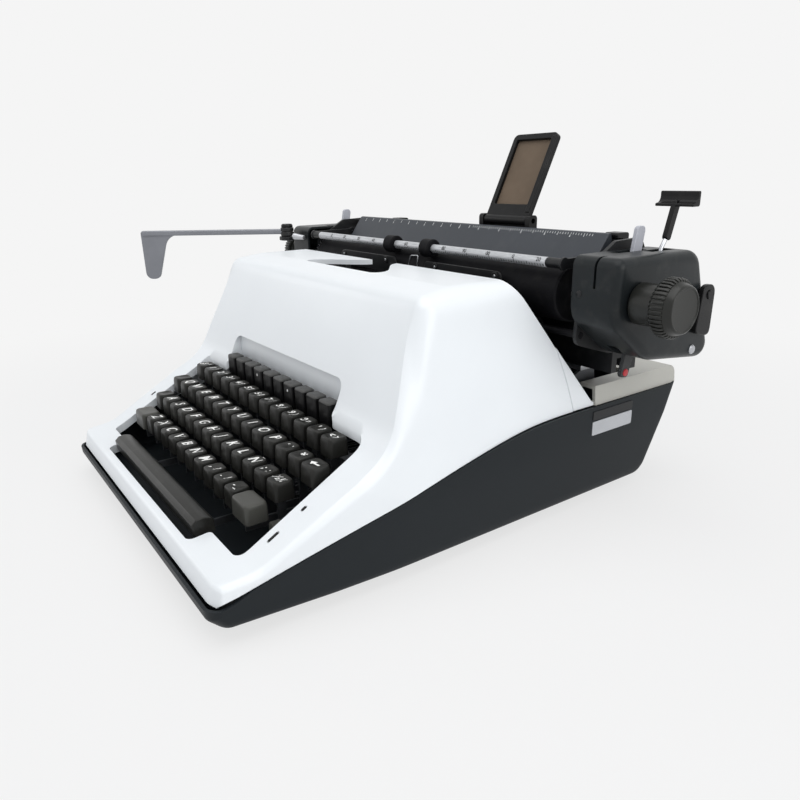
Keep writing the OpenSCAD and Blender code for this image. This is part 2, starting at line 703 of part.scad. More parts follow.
end_plate = [[66, 186, 8], [98, 205, 4], [126, 206, 4], [150, 168, 12], [150, 126, 6], [100, 126, 6],
             [62, 138, 8]];

// The carriage bed over the rail, with its end plates, studs and margin rail
module carriage_bed() color([0.13, 0.14, 0.15]) {
    translate([car_x, 0, 0]) {
        difference() {
            translate([-end_in - end_t, rail_y - 14, rail_z + 6]) cube([2 * (end_in + end_t), 28, 24]);
            translate([-400, rail_y - rail_w / 2 - slide_gap, rail_z - 10])
                cube([800, rail_w + 2 * slide_gap, rail_h + 10 + slide_gap]);
        }
        for (x = [-end_in - end_t, end_in]) plate_x(x, end_t) difference() {
            polygon(rounded(end_plate));
            translate(platen_at) circle(d = platen_shaft + 2 * run_gap);
            translate(feed_at) circle(d = feed_shaft + 2 * run_gap);
        }
        translate([-end_in, margin_at[0], margin_at[1]]) cube([2 * end_in, margin_bar[0], margin_bar[1]]);
        for (s = [-1, 1]) {
            bar_x(s > 0 ? arm_x - 3 : -end_in, end_in - arm_x + 3, hinge_pin, bail_pivot);
            bar_x(s > 0 ? cover_in : -cover_in - 16, 16, stud_d, release_at);
        }
        bar_x(cover_in, 16, stud_d, tension_at);
        bar_x(cover_in, 24, stud_d, injector_at);
    }
}

cover_line = [[55, 199, 7], [142, 199, 14], [170, 119, 10], [95, 128, 30], [55, 158, 20]];

module end_cover(slots) difference() {
    plate_x(cover_in, cover_w) polygon(rounded(cover_line));
    plate_x(cover_in - 1, cover_w - cover_wall + 1)
        polygon(rounded(ring_beside(cover_line, cover_wall)));
    bar_x(cover_in, cover_w + 5, platen_shaft + 6, platen_at);
    for (slot = slots) translate([slot[0], slot[1], slot[4]]) cube([slot[2], slot[3], 20]);
}

// The two dark covers over the carriage ends
module cover_right() color([0.18, 0.20, 0.22]) translate([car_x, 0, 0]) {
    end_cover([[cover_in + 5, 84, 8, 31, 190], [cover_in + 14.5, 106, 9, 26, 190],
               [cover_in + 9.5, 84, 8, 34, 118]]);
    bar_x(cover_out, 6, stud_d, release_lever_at);
}
module cover_left() color([0.18, 0.20, 0.22]) translate([car_x, 0, 0])
    mirror([1, 0, 0]) end_cover([[cover_in + 5, 84, 8, 31, 190]]);

// The sloping paper table in front of the margin rail
module paper_table() color([0.22, 0.24, 0.27])
    plate_x(car_x - 163, 326)
        polygon([[94.5, 184], [97, 182.6], [116, 196], [116, 204], [114.5, 208.5], [112, 208]]);

// The curved pan behind the platen
module paper_pan() color([0.20, 0.21, 0.23]) translate([car_x, 0, 0]) {
    bed_z = rail_z + 30;
    plate_x(-160, 320) difference() {
        union() {
            translate(platen_at) circle(r = platen_r + 4);
            polygon([[88, 140], [108, bed_z], [112, bed_z], [99, 162]]);
        }
        translate(platen_at) circle(r = platen_r + 2.5);
        translate([20, 164]) square([120, 60]);
        translate([20, 100]) square([64, 100]);
    }
}

// The bracket on the margin rail that the paper support folds on
module support_bracket() color([0.10, 0.10, 0.11]) {
    base = margin_at[1] + margin_bar[1];
    wide = support_w + 2 * (slide_gap + ear_t);
    translate([support_x - wide / 2, margin_at[0], base]) cube([wide, margin_bar[0] + 2, 3]);
    for (s = [0, 1])
        plate_x(support_x - wide / 2 + s * (wide - ear_t), ear_t) difference() {
            polygon(rounded([[116.2, base, 0], [124.5, base, 0], [124.5, 217.5, 3], [115.5, 217.5, 3],
                             [115.5, 209.5, 0]]));
            translate(support_hinge) circle(d = support_pin + 2 * run_gap);
        }
}

// The ear on the left end that carries the return lever
module lever_bracket() color([0.55, 0.56, 0.58]) {
    translate([0, 0, return_z - 6]) difference() {
        linear_extrude(4) polygon(rounded([[return_at[0] - 8, 36, 6], [return_at[0] + 8, 36, 6],
                                           [return_at[0] + 8, 55, 0], [return_at[0] - 8, 55, 0]]));
        translate([return_at[0], return_at[1], -1]) cylinder(d = 6, h = 8);
    }
    translate([return_at[0], return_at[1], return_z - 6]) cylinder(d = 6, h = 17);
    translate([return_at[0], return_at[1], return_z + 8]) cylinder(d = 11, h = 3);
}

// The rubber platen
module platen() color([0.07, 0.07, 0.08]) difference() {
    bar_x(car_x - platen_len / 2, platen_len, 2 * platen_r, platen_at);
    bar_x(car_x - platen_len, 2 * platen_len, platen_shaft, platen_at);
}

// The platen's axle, with the line-space ratchet
module platen_axle() color([0.60, 0.61, 0.63]) {
    reach = cover_out + 1 + knob_len;
    bar_x(car_x - reach + 6, 2 * reach - 12, platen_shaft, platen_at);
    difference() {
        bar_x(car_x - end_in + 1, 3, 32, platen_at);
        for (i = [0 : 29])
            translate([car_x - end_in, platen_at[0] + 16 * cos(i * 12), platen_at[1] + 16 * sin(i * 12)])
                rotate([0, 90, 0]) cylinder(r = 1.1, h = 5);
    }
}

module knob(s) color([0.10, 0.10, 0.11])
    translate([car_x + s * (cover_out + 1), platen_at[0], platen_at[1]])
    rotate([0, s * 90, 0]) difference() {
        union() {
            cylinder(d = knob_d - 11, h = hub_len + 1);
            translate([0, 0, hub_len]) difference() {
                cylinder(d = knob_d, h = knob_len - hub_len - 6);
                for (i = [0 : knob_flutes - 1])
                    rotate([0, 0, i * 360 / knob_flutes])
                        translate([knob_d / 2 + 0.4, 0, -1]) cylinder(d = 2.8, h = knob_len);
            }
            translate([0, 0, knob_len - 6]) cylinder(d1 = knob_d - 3, d2 = knob_d - 8, h = 6);
        }
        translate([0, 0, -1]) cylinder(d = platen_shaft, h = knob_len - 5);
    }

// The two fluted platen knobs
module knob_left() knob(-1);
module knob_right() knob(1);

// The feed rollers under the platen, on one shaft
module feed_rollers() color([0.09, 0.09, 0.10]) {
    bar_x(car_x - cover_in, 2 * cover_in, feed_shaft, feed_at);
    for (x = [-120, -40, 40, 120]) bar_x(car_x + x - 20, 40, 2 * feed_r, feed_at);
}

// The silvery scale bar of the paper bail
module bail_bar() color([0.78, 0.79, 0.80]) bar_x(car_x - bail_scale / 2, bail_scale, bail_d, bail_at);

// The two arms that hold the bail
module bail_arms() color([0.09, 0.09, 0.10])
    for (s = [-1, 1]) {
        plate_x(car_x + s * arm_x - arm_t / 2, arm_t) difference() {
            union() {
                translate(bail_at) circle(d = bail_d + 2);
                translate(bail_pivot) circle(d = 10);
                polygon([[bail_at[0], bail_at[1] - 3.5], [bail_pivot[0], bail_pivot[1] - 4],
                         [bail_pivot[0], bail_pivot[1] + 4], [bail_at[0], bail_at[1] + 3.5]]);
            }
            translate(bail_pivot) circle(d = hinge_pin + 2 * run_gap);
        }
        bar_x(car_x + (s > 0 ? bail_scale / 2 : -arm_x), arm_x - bail_scale / 2, bail_d, bail_at);
    }

// The rollers on the bail
module bail_rollers() color([0.07, 0.07, 0.07])
    for (x = [-32, 20]) difference() {
        bar_x(x - 6, 12, bail_roller_d, bail_at);
        bar_x(x - 8, 16, bail_d + 2 * run_gap, bail_at);
    }

// The carriage return lever: hub, long arm and hanging paddle
module return_lever() color([0.48, 0.49, 0.51])
    translate([return_at[0], return_at[1], return_z]) rotate([0, 0, -return_turn]) {
        difference() {
            union() {
                translate([0, 0, -1.6]) cylinder(d = 14, h = 9);
                translate([4, -3.5, 0]) cube([return_len - 6, 7, 6]);
            }
            translate([0, 0, -4]) cylinder(d = 6 + 2 * run_gap, h = 14);
        }
        translate([0, 1.5, 0]) rotate([90, 0, 0]) linear_extrude(3)
            polygon(rounded([[return_len - 33, 5, 2], [return_len - 30, 0.5, 4], [return_len - 15, -46, 6],
                             [return_len - 2, -46, 5], [return_len, 5, 2]]));
    }

// The folding paper support frame
module paper_support() color([0.10, 0.10, 0.11])
    translate([support_x, support_hinge[0], support_hinge[1]]) rotate([-support_lean, 0, 0]) {
        rotate([0, 90, 0]) cylinder(d = 8, h = support_w, center = true);
        rotate([0, 90, 0]) cylinder(d = support_pin, h = support_w + 2 * ear_t + 2, center = true);
        difference() {
            translate([-support_w / 2, -2.5, 0]) cube([support_w, 5, support_h]);
            translate([-support_w / 2 + rim, -4, 14]) cube([support_w - 2 * rim, 8, support_h - 20]);
        }
    }

// The brown pane in the paper support
module support_pane() color([0.43, 0.39, 0.34])
    translate([support_x, support_hinge[0], support_hinge[1]]) rotate([-support_lean, 0, 0])
        translate([-support_w / 2 + rim, -1, 14]) cube([support_w - 2 * rim, 2, support_h - 20]);

module margin_stop(x) color([0.08, 0.08, 0.08]) {
    y = margin_at[0];
    z = margin_at[1];
    top = z + margin_bar[1];
    difference() {
        plate_x(x - 6, 12)
            polygon(rounded([[y + 1, z - 6, 0], [y + 14, z - 6, 2], [y + 14, top + 4.5, 2],
                             [y + 1, top + 4.5, 2]]));
        translate([x - 10, y - 5, z - slide_gap])
            cube([20, margin_bar[0] + 5 + slide_gap, margin_bar[1] + 2 * slide_gap]);
    }
}

// The two margin stops behind the paper table
module margin_stop_left() margin_stop(-112);
module margin_stop_right() margin_stop(156);

module release_tab(s) {
    x = car_x + s * (cover_in + 9) - 1.5;
    plate_x(x, 3) difference() {
        union() {
            polygon(rounded([[release_at[0] - 5, release_at[1], 0], [release_at[0] + 5, release_at[1], 0],
                             [release_at[0] + 12, 215, 3], [release_at[0] + 3, 215, 3]]));
            translate(release_at) circle(d = 13);
        }
        translate(release_at) circle(d = stud_d + 2 * run_gap);
    }
}

// The paper release lever at each end
module paper_release() color([0.66, 0.66, 0.67]) {
    release_tab(-1);
    release_tab(1);
}

// The paper injector lever with its T handle
module paper_injector() color([0.12, 0.12, 0.13]) {
    x = car_x + cover_in + 17;
    plate_x(x, 4) difference() {
        union() {
            polygon([[injector_at[0] - 4, injector_at[1]], [injector_at[0] + 4, injector_at[1]],
                     [injector_at[0] + 4, 200], [injector_at[0] + 15, 229], [injector_at[0] + 9, 229],
                     [injector_at[0] - 3, 200]]);
            translate(injector_at) circle(d = 13);
        }
        translate(injector_at) circle(d = stud_d + 2 * run_gap);
    }
    translate([x - 12, injector_at[0] + 8, 227]) cube([29, 8, 10]);
}

// The carriage release lever on the right end
module carriage_release() color([0.14, 0.15, 0.16]) {
    plate_x(car_x + cover_out + 1, 4) difference() {
        polygon(rounded([[release_lever_at[0] - 7, release_lever_at[1] + 7, 6],
                         [release_lever_at[0] - 12, 142, 4], [release_lever_at[0] + 6, 138, 4],
                         [release_lever_at[0] + 7, release_lever_at[1] + 7, 6]]));
        translate(release_lever_at) circle(d = stud_d + 2 * run_gap);
    }
}

// The small lever under the right end
module tension_lever() color([0.55, 0.55, 0.56])
    plate_x(car_x + cover_in + 12, 3) difference() {
        union() {
            translate(tension_at) circle(d = 12);
            polygon(rounded([[tension_at[0] - 5, tension_at[1], 0], [tension_at[0] - 14, 112, 3],
                             [tension_at[0] - 5, 111, 3], [tension_at[0] + 5, tension_at[1], 0]]));
        }
        translate(tension_at) circle(d = stud_d + 2 * run_gap);
    }

base_tub();
rubber_feet();
side_frames();
frame_ties();
key_comb();
tab_key_guide();
carriage_rail();
rear_deck();
hood_hinge_pins();
label_plates();
card_holder();
ribbon_cups();
ribbon_strip();
margin_bell();
hood();
type_segment();
type_bars();
type_rest();
ribbon_spool_left();
ribbon_spool_right();
draw_drum();
digit_keys();
digit_levers();
upper_keys();
upper_levers();
home_keys();
home_levers();
lower_keys();
lower_levers();
space_bar();
space_bar_arms();
shift_key_left();
shift_key_right();
shift_lock_key();
backspace_key();
tab_keys();
carriage_bed();
cover_left();
cover_right();
paper_table();
paper_pan();
support_bracket();
lever_bracket();
platen();
platen_axle();
knob_left();
knob_right();
feed_rollers();
bail_bar();
bail_arms();
bail_rollers();
return_lever();
paper_support();
support_pane();
margin_stop_left();
margin_stop_right();
paper_release();
paper_injector();
carriage_release();
tension_lever();
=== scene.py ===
"""Looks of a manual office typewriter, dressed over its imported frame.

Shapes are written in millimetres in the frame's own axes (+X the typist's right, +Y the back, +Z up)
and become metres when a mesh is made.
"""
import json
import logging
import math
from dataclasses import dataclass, field
from enum import Enum
from typing import Callable, Iterable, Optional, Sequence, Union

import bmesh
import bpy
import numpy as np
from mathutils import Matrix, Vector
from mathutils.geometry import delaunay_2d_cdt
from mathutils.kdtree import KDTree

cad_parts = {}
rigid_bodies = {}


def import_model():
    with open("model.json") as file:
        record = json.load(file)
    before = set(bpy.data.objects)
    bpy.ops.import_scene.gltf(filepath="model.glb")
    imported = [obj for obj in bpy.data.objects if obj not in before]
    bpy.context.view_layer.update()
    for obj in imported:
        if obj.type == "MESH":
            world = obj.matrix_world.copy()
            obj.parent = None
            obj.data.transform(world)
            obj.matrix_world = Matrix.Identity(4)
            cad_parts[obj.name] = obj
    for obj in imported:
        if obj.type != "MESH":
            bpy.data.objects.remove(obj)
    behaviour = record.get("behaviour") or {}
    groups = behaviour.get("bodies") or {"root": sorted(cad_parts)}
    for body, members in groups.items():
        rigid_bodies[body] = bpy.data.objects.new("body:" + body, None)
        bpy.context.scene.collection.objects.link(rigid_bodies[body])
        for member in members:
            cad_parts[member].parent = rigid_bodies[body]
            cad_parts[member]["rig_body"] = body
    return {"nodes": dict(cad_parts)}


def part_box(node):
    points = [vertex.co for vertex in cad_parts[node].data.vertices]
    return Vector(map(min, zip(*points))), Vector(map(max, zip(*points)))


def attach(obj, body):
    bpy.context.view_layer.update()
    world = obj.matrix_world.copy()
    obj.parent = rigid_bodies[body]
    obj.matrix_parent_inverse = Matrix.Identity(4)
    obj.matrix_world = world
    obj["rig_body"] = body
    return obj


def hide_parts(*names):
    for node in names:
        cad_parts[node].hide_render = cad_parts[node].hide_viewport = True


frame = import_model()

LOG = logging.getLogger("typewriter")
MM = 0.001
INCH = 25.4
# Metres within which two points of a mesh are one.
MERGE = 2e-6
# Degrees of bend up to which pressed pieces and moulded pieces shade smoothly.
SMOOTH = 32.0
MOULDED = 40.0
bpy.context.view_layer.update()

Pair = tuple[float, float]
Triple = tuple[float, float, float]
Corner = tuple[float, float, float]
Value = Union["Field", float, tuple]
EVEN: Triple = (1.0, 1.0, 1.0)
STILL: Triple = (0.0, 0.0, 0.0)


class Grain(Enum):
    """How the fine relief of a finish runs."""

    STIPPLE = "even in all directions"
    BRUSHED = "drawn out along X"
    FIBRE = "woven or felted"


class Axis(Enum):
    """The direction along which an outline is drawn out or turned."""

    X = 0
    Y = 1
    Z = 2


class Field:
    """A shader value; arithmetic on it adds Math nodes to its material."""

    def __init__(self, shade: "Shade", socket: bpy.types.NodeSocket) -> None:
        """Wrap one output socket of a material's tree."""
        self.shade = shade
        self.socket = socket

    def _math(self, operation: str, left: Value, right: Value) -> "Field":
        """Add one Math node.

        Args:
            operation: The Math node's operation.
            left: First operand.
            right: Second operand.

        Returns:
            The node's result.
        """
        return self.shade.node("ShaderNodeMath", {"operation": operation}, {0: left, 1: right})

    def __add__(self, other: Value) -> "Field":
        """Sum."""
        return self._math("ADD", self, other)

    __radd__ = __add__

    def __sub__(self, other: Value) -> "Field":
        """Difference."""
        return self._math("SUBTRACT", self, other)

    def __rsub__(self, other: Value) -> "Field":
        """Difference, with this value taken away."""
        return self._math("SUBTRACT", other, self)

    def __mul__(self, other: Value) -> "Field":
        """Product."""
        return self._math("MULTIPLY", self, other)

    __rmul__ = __mul__

    def ramp(self, low: float, high: float) -> "Field":
        """Smooth step from 0 at low to 1 at high.

        Args:
            low: Where the step starts.
            high: Where the step ends.

        Returns:
            The stepped value.
        """
        return self.shade.node("ShaderNodeMapRange", {"interpolation_type": "SMOOTHSTEP"},
                               {"Value": self, "From Min": low, "From Max": high})


class Shade:
    """The node tree of a material or of the world, under construction."""

    def __init__(self, owner: Union[bpy.types.Material, bpy.types.World]) -> None:
        """Start with an empty tree.

        Args:
            owner: The material or world.
        """
        owner.use_nodes = True
        self.owner = owner
        self.tree = owner.node_tree
        self.tree.nodes.clear()

    def node(self, kind: str, settings: Optional[dict] = None, sockets: Optional[dict] = None,
             output: Union[int, str] = 0) -> Field:
        """Add any node.

        Args:
            kind: The node's type.
            settings: Properties of the node, set first.
            sockets: Values or links of its inputs, by name or index.
            output: The output that is wanted.

        Returns:
            That output.
        """
        made = self.tree.nodes.new(kind)
        for key, value in (settings or {}).items():
            setattr(made, key, value)
        for key, value in (sockets or {}).items():
            if isinstance(value, Field):
                self.tree.links.new(value.socket, made.inputs[key])
            else:
                made.inputs[key].default_value = value
        return Field(self, made.outputs[output])

    def coords(self) -> Field:
        """Coordinates of the piece."""
        return self.node("ShaderNodeTexCoord", output="Object")

    def noise(self, size_mm: float, detail: float = 2.0, stretch: Triple = EVEN) -> Field:
        """Noise over the piece.

        Args:
            size_mm: Size of one blotch.
            detail: Octaves of finer noise.
            stretch: Scale of the coordinates along each axis.

        Returns:
            A value about 0.5.
        """
        where = self.node("ShaderNodeMapping", {}, {"Vector": self.coords(), "Scale": stretch})
        return self.node("ShaderNodeTexNoise", {}, {"Vector": where, "Scale": 1 / (size_mm * MM),
                                                    "Detail": detail, "Roughness": 0.55})

    def mix(self, share: Value, first: Value, second: Value, blend: str = "MIX") -> Field:
        """Colour between two colours.

        Args:
            share: How much of the second colour.
            first: Linear colour at 0.
            second: Linear colour at 1.
            blend: The Mix node's way of blending.

        Returns:
            The mixed colour.
        """
        return self.node("ShaderNodeMix", {"data_type": "RGBA", "blend_type": blend},
                         {0: share, 6: first, 7: second}, output=2)

    def seen(self) -> Field:
        """1 on rays that show the surface itself, also by gloss or through glass, and 0 on other light."""
        eye, gloss, glass = (self.node("ShaderNodeLightPath", output=f"Is {kind} Ray")
                             for kind in ("Camera", "Glossy", "Transmission"))
        return (eye + gloss + glass).ramp(0.0, 1.0)

    def close(self, surface: Field) -> None:
        """Connect a shader to the tree's output.

        Args:
            surface: The shader.
        """
        kind = "World" if isinstance(self.owner, bpy.types.World) else "Material"
        out = self.tree.nodes.new(f"ShaderNodeOutput{kind}")
        self.tree.links.new(surface.socket, out.inputs["Surface"])


def linear(colour: tuple[int, int, int], gain: float = 1.0) -> tuple[float, float, float, float]:
    """Linear colour of an sRGB one.

    Args:
        colour: Red, green and blue from 0 to 255.
        gain: Factor on the linear value.

    Returns:
        Linear red, green, blue and alpha.
    """
    def one(v: float) -> float:
        """Linear value of one channel."""
        v = v / 255
        return v / 12.92 if v <= 0.04045 else ((v + 0.055) / 1.055) ** 2.4

    return tuple(min(1.0, one(c) * gain) for c in colour) + (1.0,)


FINISHED: dict[str, bpy.types.Material] = {}
DRAWN_OUT: Triple = (0.04, 1.0, 1.0)
STREAK = ((0.82, 0.82, 0.82, 1.0), (1.12, 1.12, 1.12, 1.0))
DUST = (176, 172, 164)
DUST_MM = 11.0


@dataclass(frozen=True)
class Finish:
    """One surface finish, at real scale.

    The colour drifts by the mottle share over blotches of mottle_mm, the relief is grain_depth_mm deep
    over grain_mm, and dust is how much of a paler film lies on faces.
    """

    name: str
    slot: str
    colour: tuple[int, int, int]
    roughness: float = 0.45
    metallic: float = 0.0
    coat: float = 0.0
    specular: float = 0.5
    mottle: float = 0.06
    mottle_mm: float = 45.0
    grain: Grain = Grain.STIPPLE
    grain_mm: float = 0.7
    grain_depth_mm: float = 0.03
    dust: float = 0.0

    def material(self) -> bpy.types.Material:
        """The finish as a material, made once."""
        if self.name not in FINISHED:
            FINISHED[self.name] = self._build()
        return FINISHED[self.name]

    def _build(self) -> bpy.types.Material:
        """Lay the finish out as nodes.

        Returns:
            The material.
        """
        shade = Shade(bpy.data.materials.new(self.name))
        blotch = shade.noise(self.mottle_mm, 3.0)
        fine = shade.noise(self.grain_mm, 4.0 if self.grain is Grain.FIBRE else 2.0,
                           DRAWN_OUT if self.grain is Grain.BRUSHED else EVEN)
        tint = shade.mix(blotch.ramp(0.25, 0.75), linear(self.colour, 1 - self.mottle),
                         linear(self.colour, 1 + self.mottle))
        if self.grain is not Grain.STIPPLE:
            tint = shade.mix(1.0, tint, shade.mix(fine.ramp(0.3, 0.7), *STREAK), "MULTIPLY")
        if self.dust:
            film = shade.noise(DUST_MM, 5.0).ramp(0.48, 0.8) * self.dust
            tint = shade.mix(film, tint, linear(DUST))
        rough = self.roughness + (blotch - 0.5) * 0.10 + (fine - 0.5) * 0.08
        relief = shade.node("ShaderNodeBump", {},
                            {"Height": fine, "Strength": 0.7, "Distance": self.grain_depth_mm * MM})
        skin = shade.node("ShaderNodeBsdfPrincipled", {},
                          {"Base Color": tint, "Roughness": rough, "Metallic": self.metallic,
                           "Coat Weight": self.coat, "Coat Roughness": 0.18, "Normal": relief,
                           "Specular IOR Level": self.specular})
        shade.close(skin)
        return shade.owner


WHITE = Finish("white_enamel", "casing_white", (240, 244, 247), 0.36, coat=0.15, mottle=0.012,
               mottle_mm=70, grain_mm=0.9, grain_depth_mm=0.012)
CREAM = Finish("cream_enamel", "casing_cream", (182, 181, 174), 0.42, mottle=0.02, grain_mm=0.9,
               grain_depth_mm=0.012)
DARK = Finish("dark_enamel", "casing_dark", (33, 37, 40), 0.46, specular=0.14, mottle=0.05,
              mottle_mm=60, grain_mm=0.55, grain_depth_mm=0.05)
SLATE = Finish("slate_shell", "cover_slate", (27, 31, 33), 0.34, specular=0.2, mottle=0.06,
               grain_mm=0.5, grain_depth_mm=0.03, dust=0.03)
TABLE = Finish("slate_table", "cover_slate", (60, 64, 70), 0.42, specular=0.35, mottle=0.05,
               grain_mm=0.5, grain_depth_mm=0.02, dust=0.02)
KEY = Finish("key_moulding", "key_plastic", (35, 35, 33), 0.32, specular=0.2, mottle=0.08, mottle_mm=16,
             grain_mm=0.35, grain_depth_mm=0.015, dust=0.03)
KEY_PLAIN = Finish("key_plain", "key_plastic", (70, 70, 66), 0.33, specular=0.25, mottle=0.06,
                   mottle_mm=16, grain_mm=0.35, grain_depth_mm=0.015)
BLACK = Finish("black_moulding", "black_plastic", (20, 20, 21), 0.30, specular=0.2, mottle=0.1,
               mottle_mm=20, grain_mm=0.4, grain_depth_mm=0.015, dust=0.02)
KNOB = Finish("knob_moulding", "black_plastic", (25, 26, 23), 0.3, specular=0.36, mottle=0.08,
              mottle_mm=18, grain_mm=0.4, grain_depth_mm=0.012)
TAB_TOP = Finish("tab_tops", "black_plastic", (66, 66, 65), 0.45, specular=0.35, mottle=0.06,
                 mottle_mm=12, grain_mm=0.3)
ENAMEL_BLACK = Finish("black_enamel", "black_metal", (22, 23, 25), 0.4, specular=0.3, mottle=0.1,
                      mottle_mm=25, dust=0.03)
RUBBER = Finish("roller_rubber", "platen_rubber", (17, 17, 20), 0.6, specular=0.1, mottle=0.12,
                mottle_mm=18, grain_mm=0.25, grain_depth_mm=0.02, dust=0.02)
FOOT = Finish("foot_moulding", "foot_rubber", (22, 22, 22), 0.7, specular=0.3, mottle=0.1, mottle_mm=8,
              grain_mm=0.3)
STEEL = Finish("works_steel", "frame_steel", (110, 112, 116), 0.42, metallic=0.85, mottle=0.1,
               mottle_mm=25, grain=Grain.BRUSHED, grain_mm=0.3, grain_depth_mm=0.008)
BRIGHT = Finish("polished_steel", "bright_steel", (186, 188, 192), 0.28, metallic=0.95, mottle=0.06,
                grain=Grain.BRUSHED, grain_mm=0.2, grain_depth_mm=0.005)
PLATE = Finish("plate_alloy", "plate_grey", (188, 190, 194), 0.4, metallic=0.35, mottle=0.06,
               grain=Grain.BRUSHED, grain_mm=0.25, grain_depth_mm=0.006)
PLATE_BLACK = Finish("plate_black", "plate_grey", (26, 27, 29), 0.4, specular=0.3, mottle=0.08,
                     mottle_mm=10, grain_mm=0.3)
SCALE = Finish("scale_alloy", "scale_silver", (196, 198, 201), 0.38, metallic=0.3, mottle=0.05,
               grain=Grain.BRUSHED, grain_mm=0.25, grain_depth_mm=0.006)
LEVER = Finish("lever_paint", "lever_grey", (132, 134, 140), 0.32, metallic=0.45, mottle=0.06,
               mottle_mm=30, grain_mm=0.5, grain_depth_mm=0.012)
HUB = Finish("lever_hub", "lever_grey", (24, 24, 25), 0.34, specular=0.4, mottle=0.08, mottle_mm=10,
             grain_mm=0.4)
TAB_GREY = Finish("tab_paint", "tab_grey", (184, 186, 194), 0.42, mottle=0.05, mottle_mm=10,
                  grain_mm=0.4)
TAB_DARK = Finish("tab_dark", "tab_grey", (38, 39, 41), 0.4, specular=0.35, mottle=0.06, mottle_mm=10,
                  grain_mm=0.4)
PANE = Finish("brown_sheet", "pane_brown", (112, 98, 84), 0.5, specular=0.08, mottle=0.10, mottle_mm=26,
              grain_mm=0.6, grain_depth_mm=0.01)
RIBBON = Finish("inked_cloth", "ribbon_cloth", (20, 20, 23), 0.8, specular=0.2, mottle=0.15,
                mottle_mm=6, grain=Grain.FIBRE, grain_mm=0.25, grain_depth_mm=0.03)
FELT = Finish("felt_red", "felt", (92, 46, 42), 0.95, specular=0.2, mottle=0.15, mottle_mm=6,
              grain=Grain.FIBRE, grain_mm=0.4, grain_depth_mm=0.08)
BELL = Finish("bell_plate", "bell_metal", (196, 186, 158), 0.25, metallic=0.95, mottle=0.06,
              grain_mm=0.4, grain_depth_mm=0.005)
LEGEND = Finish("white_ink", "key_plastic", (250, 250, 247), 0.5, mottle=0.02, mottle_mm=4,
                grain_mm=0.2, grain_depth_mm=0.004)
RED = Finish("red_tip", "tab_grey", (178, 34, 44), 0.3, mottle=0.06, mottle_mm=5, grain_mm=0.3)
INK = Finish("black_ink", "scale_silver", (20, 20, 22), 0.5, specular=0.2, mottle=0.06, mottle_mm=4,
             grain_mm=0.2, grain_depth_mm=0.004)
TABLE_INK = Finish("pale_ink", "cover_slate", (206, 208, 208), 0.5, mottle=0.04, mottle_mm=4,
                   grain_mm=0.2, grain_depth_mm=0.004)


@dataclass
class Form:
    """A mesh in the making: points in millimetres and faces."""

    points: list = field(default_factory=list)
    faces: list = field(default_factory=list)

    def __add__(self, other: "Form") -> "Form":
        """Both forms together."""
        base = len(self.points)
        return Form(list(self.points) + list(other.points),
                    list(self.faces) + [tuple(i + base for i in f) for f in other.faces])

    def moved(self, x: float, y: float, z: float) -> "Form":
        """The form shifted."""
        return Form([(p[0] + x, p[1] + y, p[2] + z) for p in self.points], list(self.faces))

    def mirrored(self) -> "Form":
        """The form mirrored across X, its faces turned to suit."""
        return Form([(-p[0], p[1], p[2]) for p in self.points], [tuple(reversed(f)) for f in self.faces])

    def turned(self, axis: Axis, degrees: float, about: Triple = STILL) -> "Form":
        """The form turned by the right-hand rule.

        Args:
            axis: The axis to turn about.
            degrees: The angle.
            about: A point on the axis.

        Returns:
            The turned form.
        """
        c, s = math.cos(math.radians(degrees)), math.sin(math.radians(degrees))
        i, j = [(1, 2), (2, 0), (0, 1)][axis.value]
        out = []
        for p in self.points:
            q = [p[k] - about[k] for k in range(3)]
            q[i], q[j] = q[i] * c - q[j] * s, q[i] * s + q[j] * c
            out.append(tuple(q[k] + about[k] for k in range(3)))
        return Form(out, list(self.faces))


def arc_corner(a: Corner, b: Corner, c: Corner, steps: int) -> list[Pair]:
    """Points of the arc that rounds the corner b.

    Args:
        a: The corner before.
        b: The corner, with its radius third.
        c: The corner after.
        steps: Number of chords.

    Returns:
        The arc's points, or the corner itself when it is sharp.
    """
    at, radius = np.array(b[:2], float), b[2]
    u, v = np.array(a[:2]) - at, np.array(c[:2]) - at
    u, v = u / np.linalg.norm(u), v / np.linalg.norm(v)
    half = math.acos(max(-1.0, min(1.0, float(u @ v)))) / 2
    if radius < 0.01 or half > math.radians(89.6):
        return [tuple(at)]
    centre = at + (u + v) / np.linalg.norm(u + v) * radius / math.sin(half)
    first, last = at + u * radius / math.tan(half) - centre, at + v * radius / math.tan(half) - centre
    a0 = math.atan2(first[1], first[0])
    sweep = (math.atan2(last[1], last[0]) - a0 + math.pi) % (2 * math.pi) - math.pi
    turns = [a0 + sweep * i / steps for i in range(steps + 1)]
    return [tuple(centre + radius * np.array([math.cos(t), math.sin(t)])) for t in turns]


def outline(corners: Sequence[Corner], steps: int = 6) -> list[Pair]:
    """A closed outline with rounded corners [u, v, radius]."""
    n = len(corners)
    return [p for i in range(n)
            for p in arc_corner(corners[i - 1], corners[i], corners[(i + 1) % n], steps)]


def rectangle(low: Pair, high: Pair, radius: float, steps: int = 4) -> list[Pair]:
    """A rectangle between two corners, all four rounded alike."""
    return outline([(low[0], low[1], radius), (high[0], low[1], radius),
                    (high[0], high[1], radius), (low[0], high[1], radius)], steps)


def polyline(corners: Sequence[Corner], steps: int = 8) -> list[Pair]:
    """An open line with rounded inner corners [u, v, radius]."""
    inner = [p for i in range(1, len(corners) - 1)
             for p in arc_corner(corners[i - 1], corners[i], corners[i + 1], steps)]
    return [tuple(corners[0][:2])] + inner + [tuple(corners[-1][:2])]


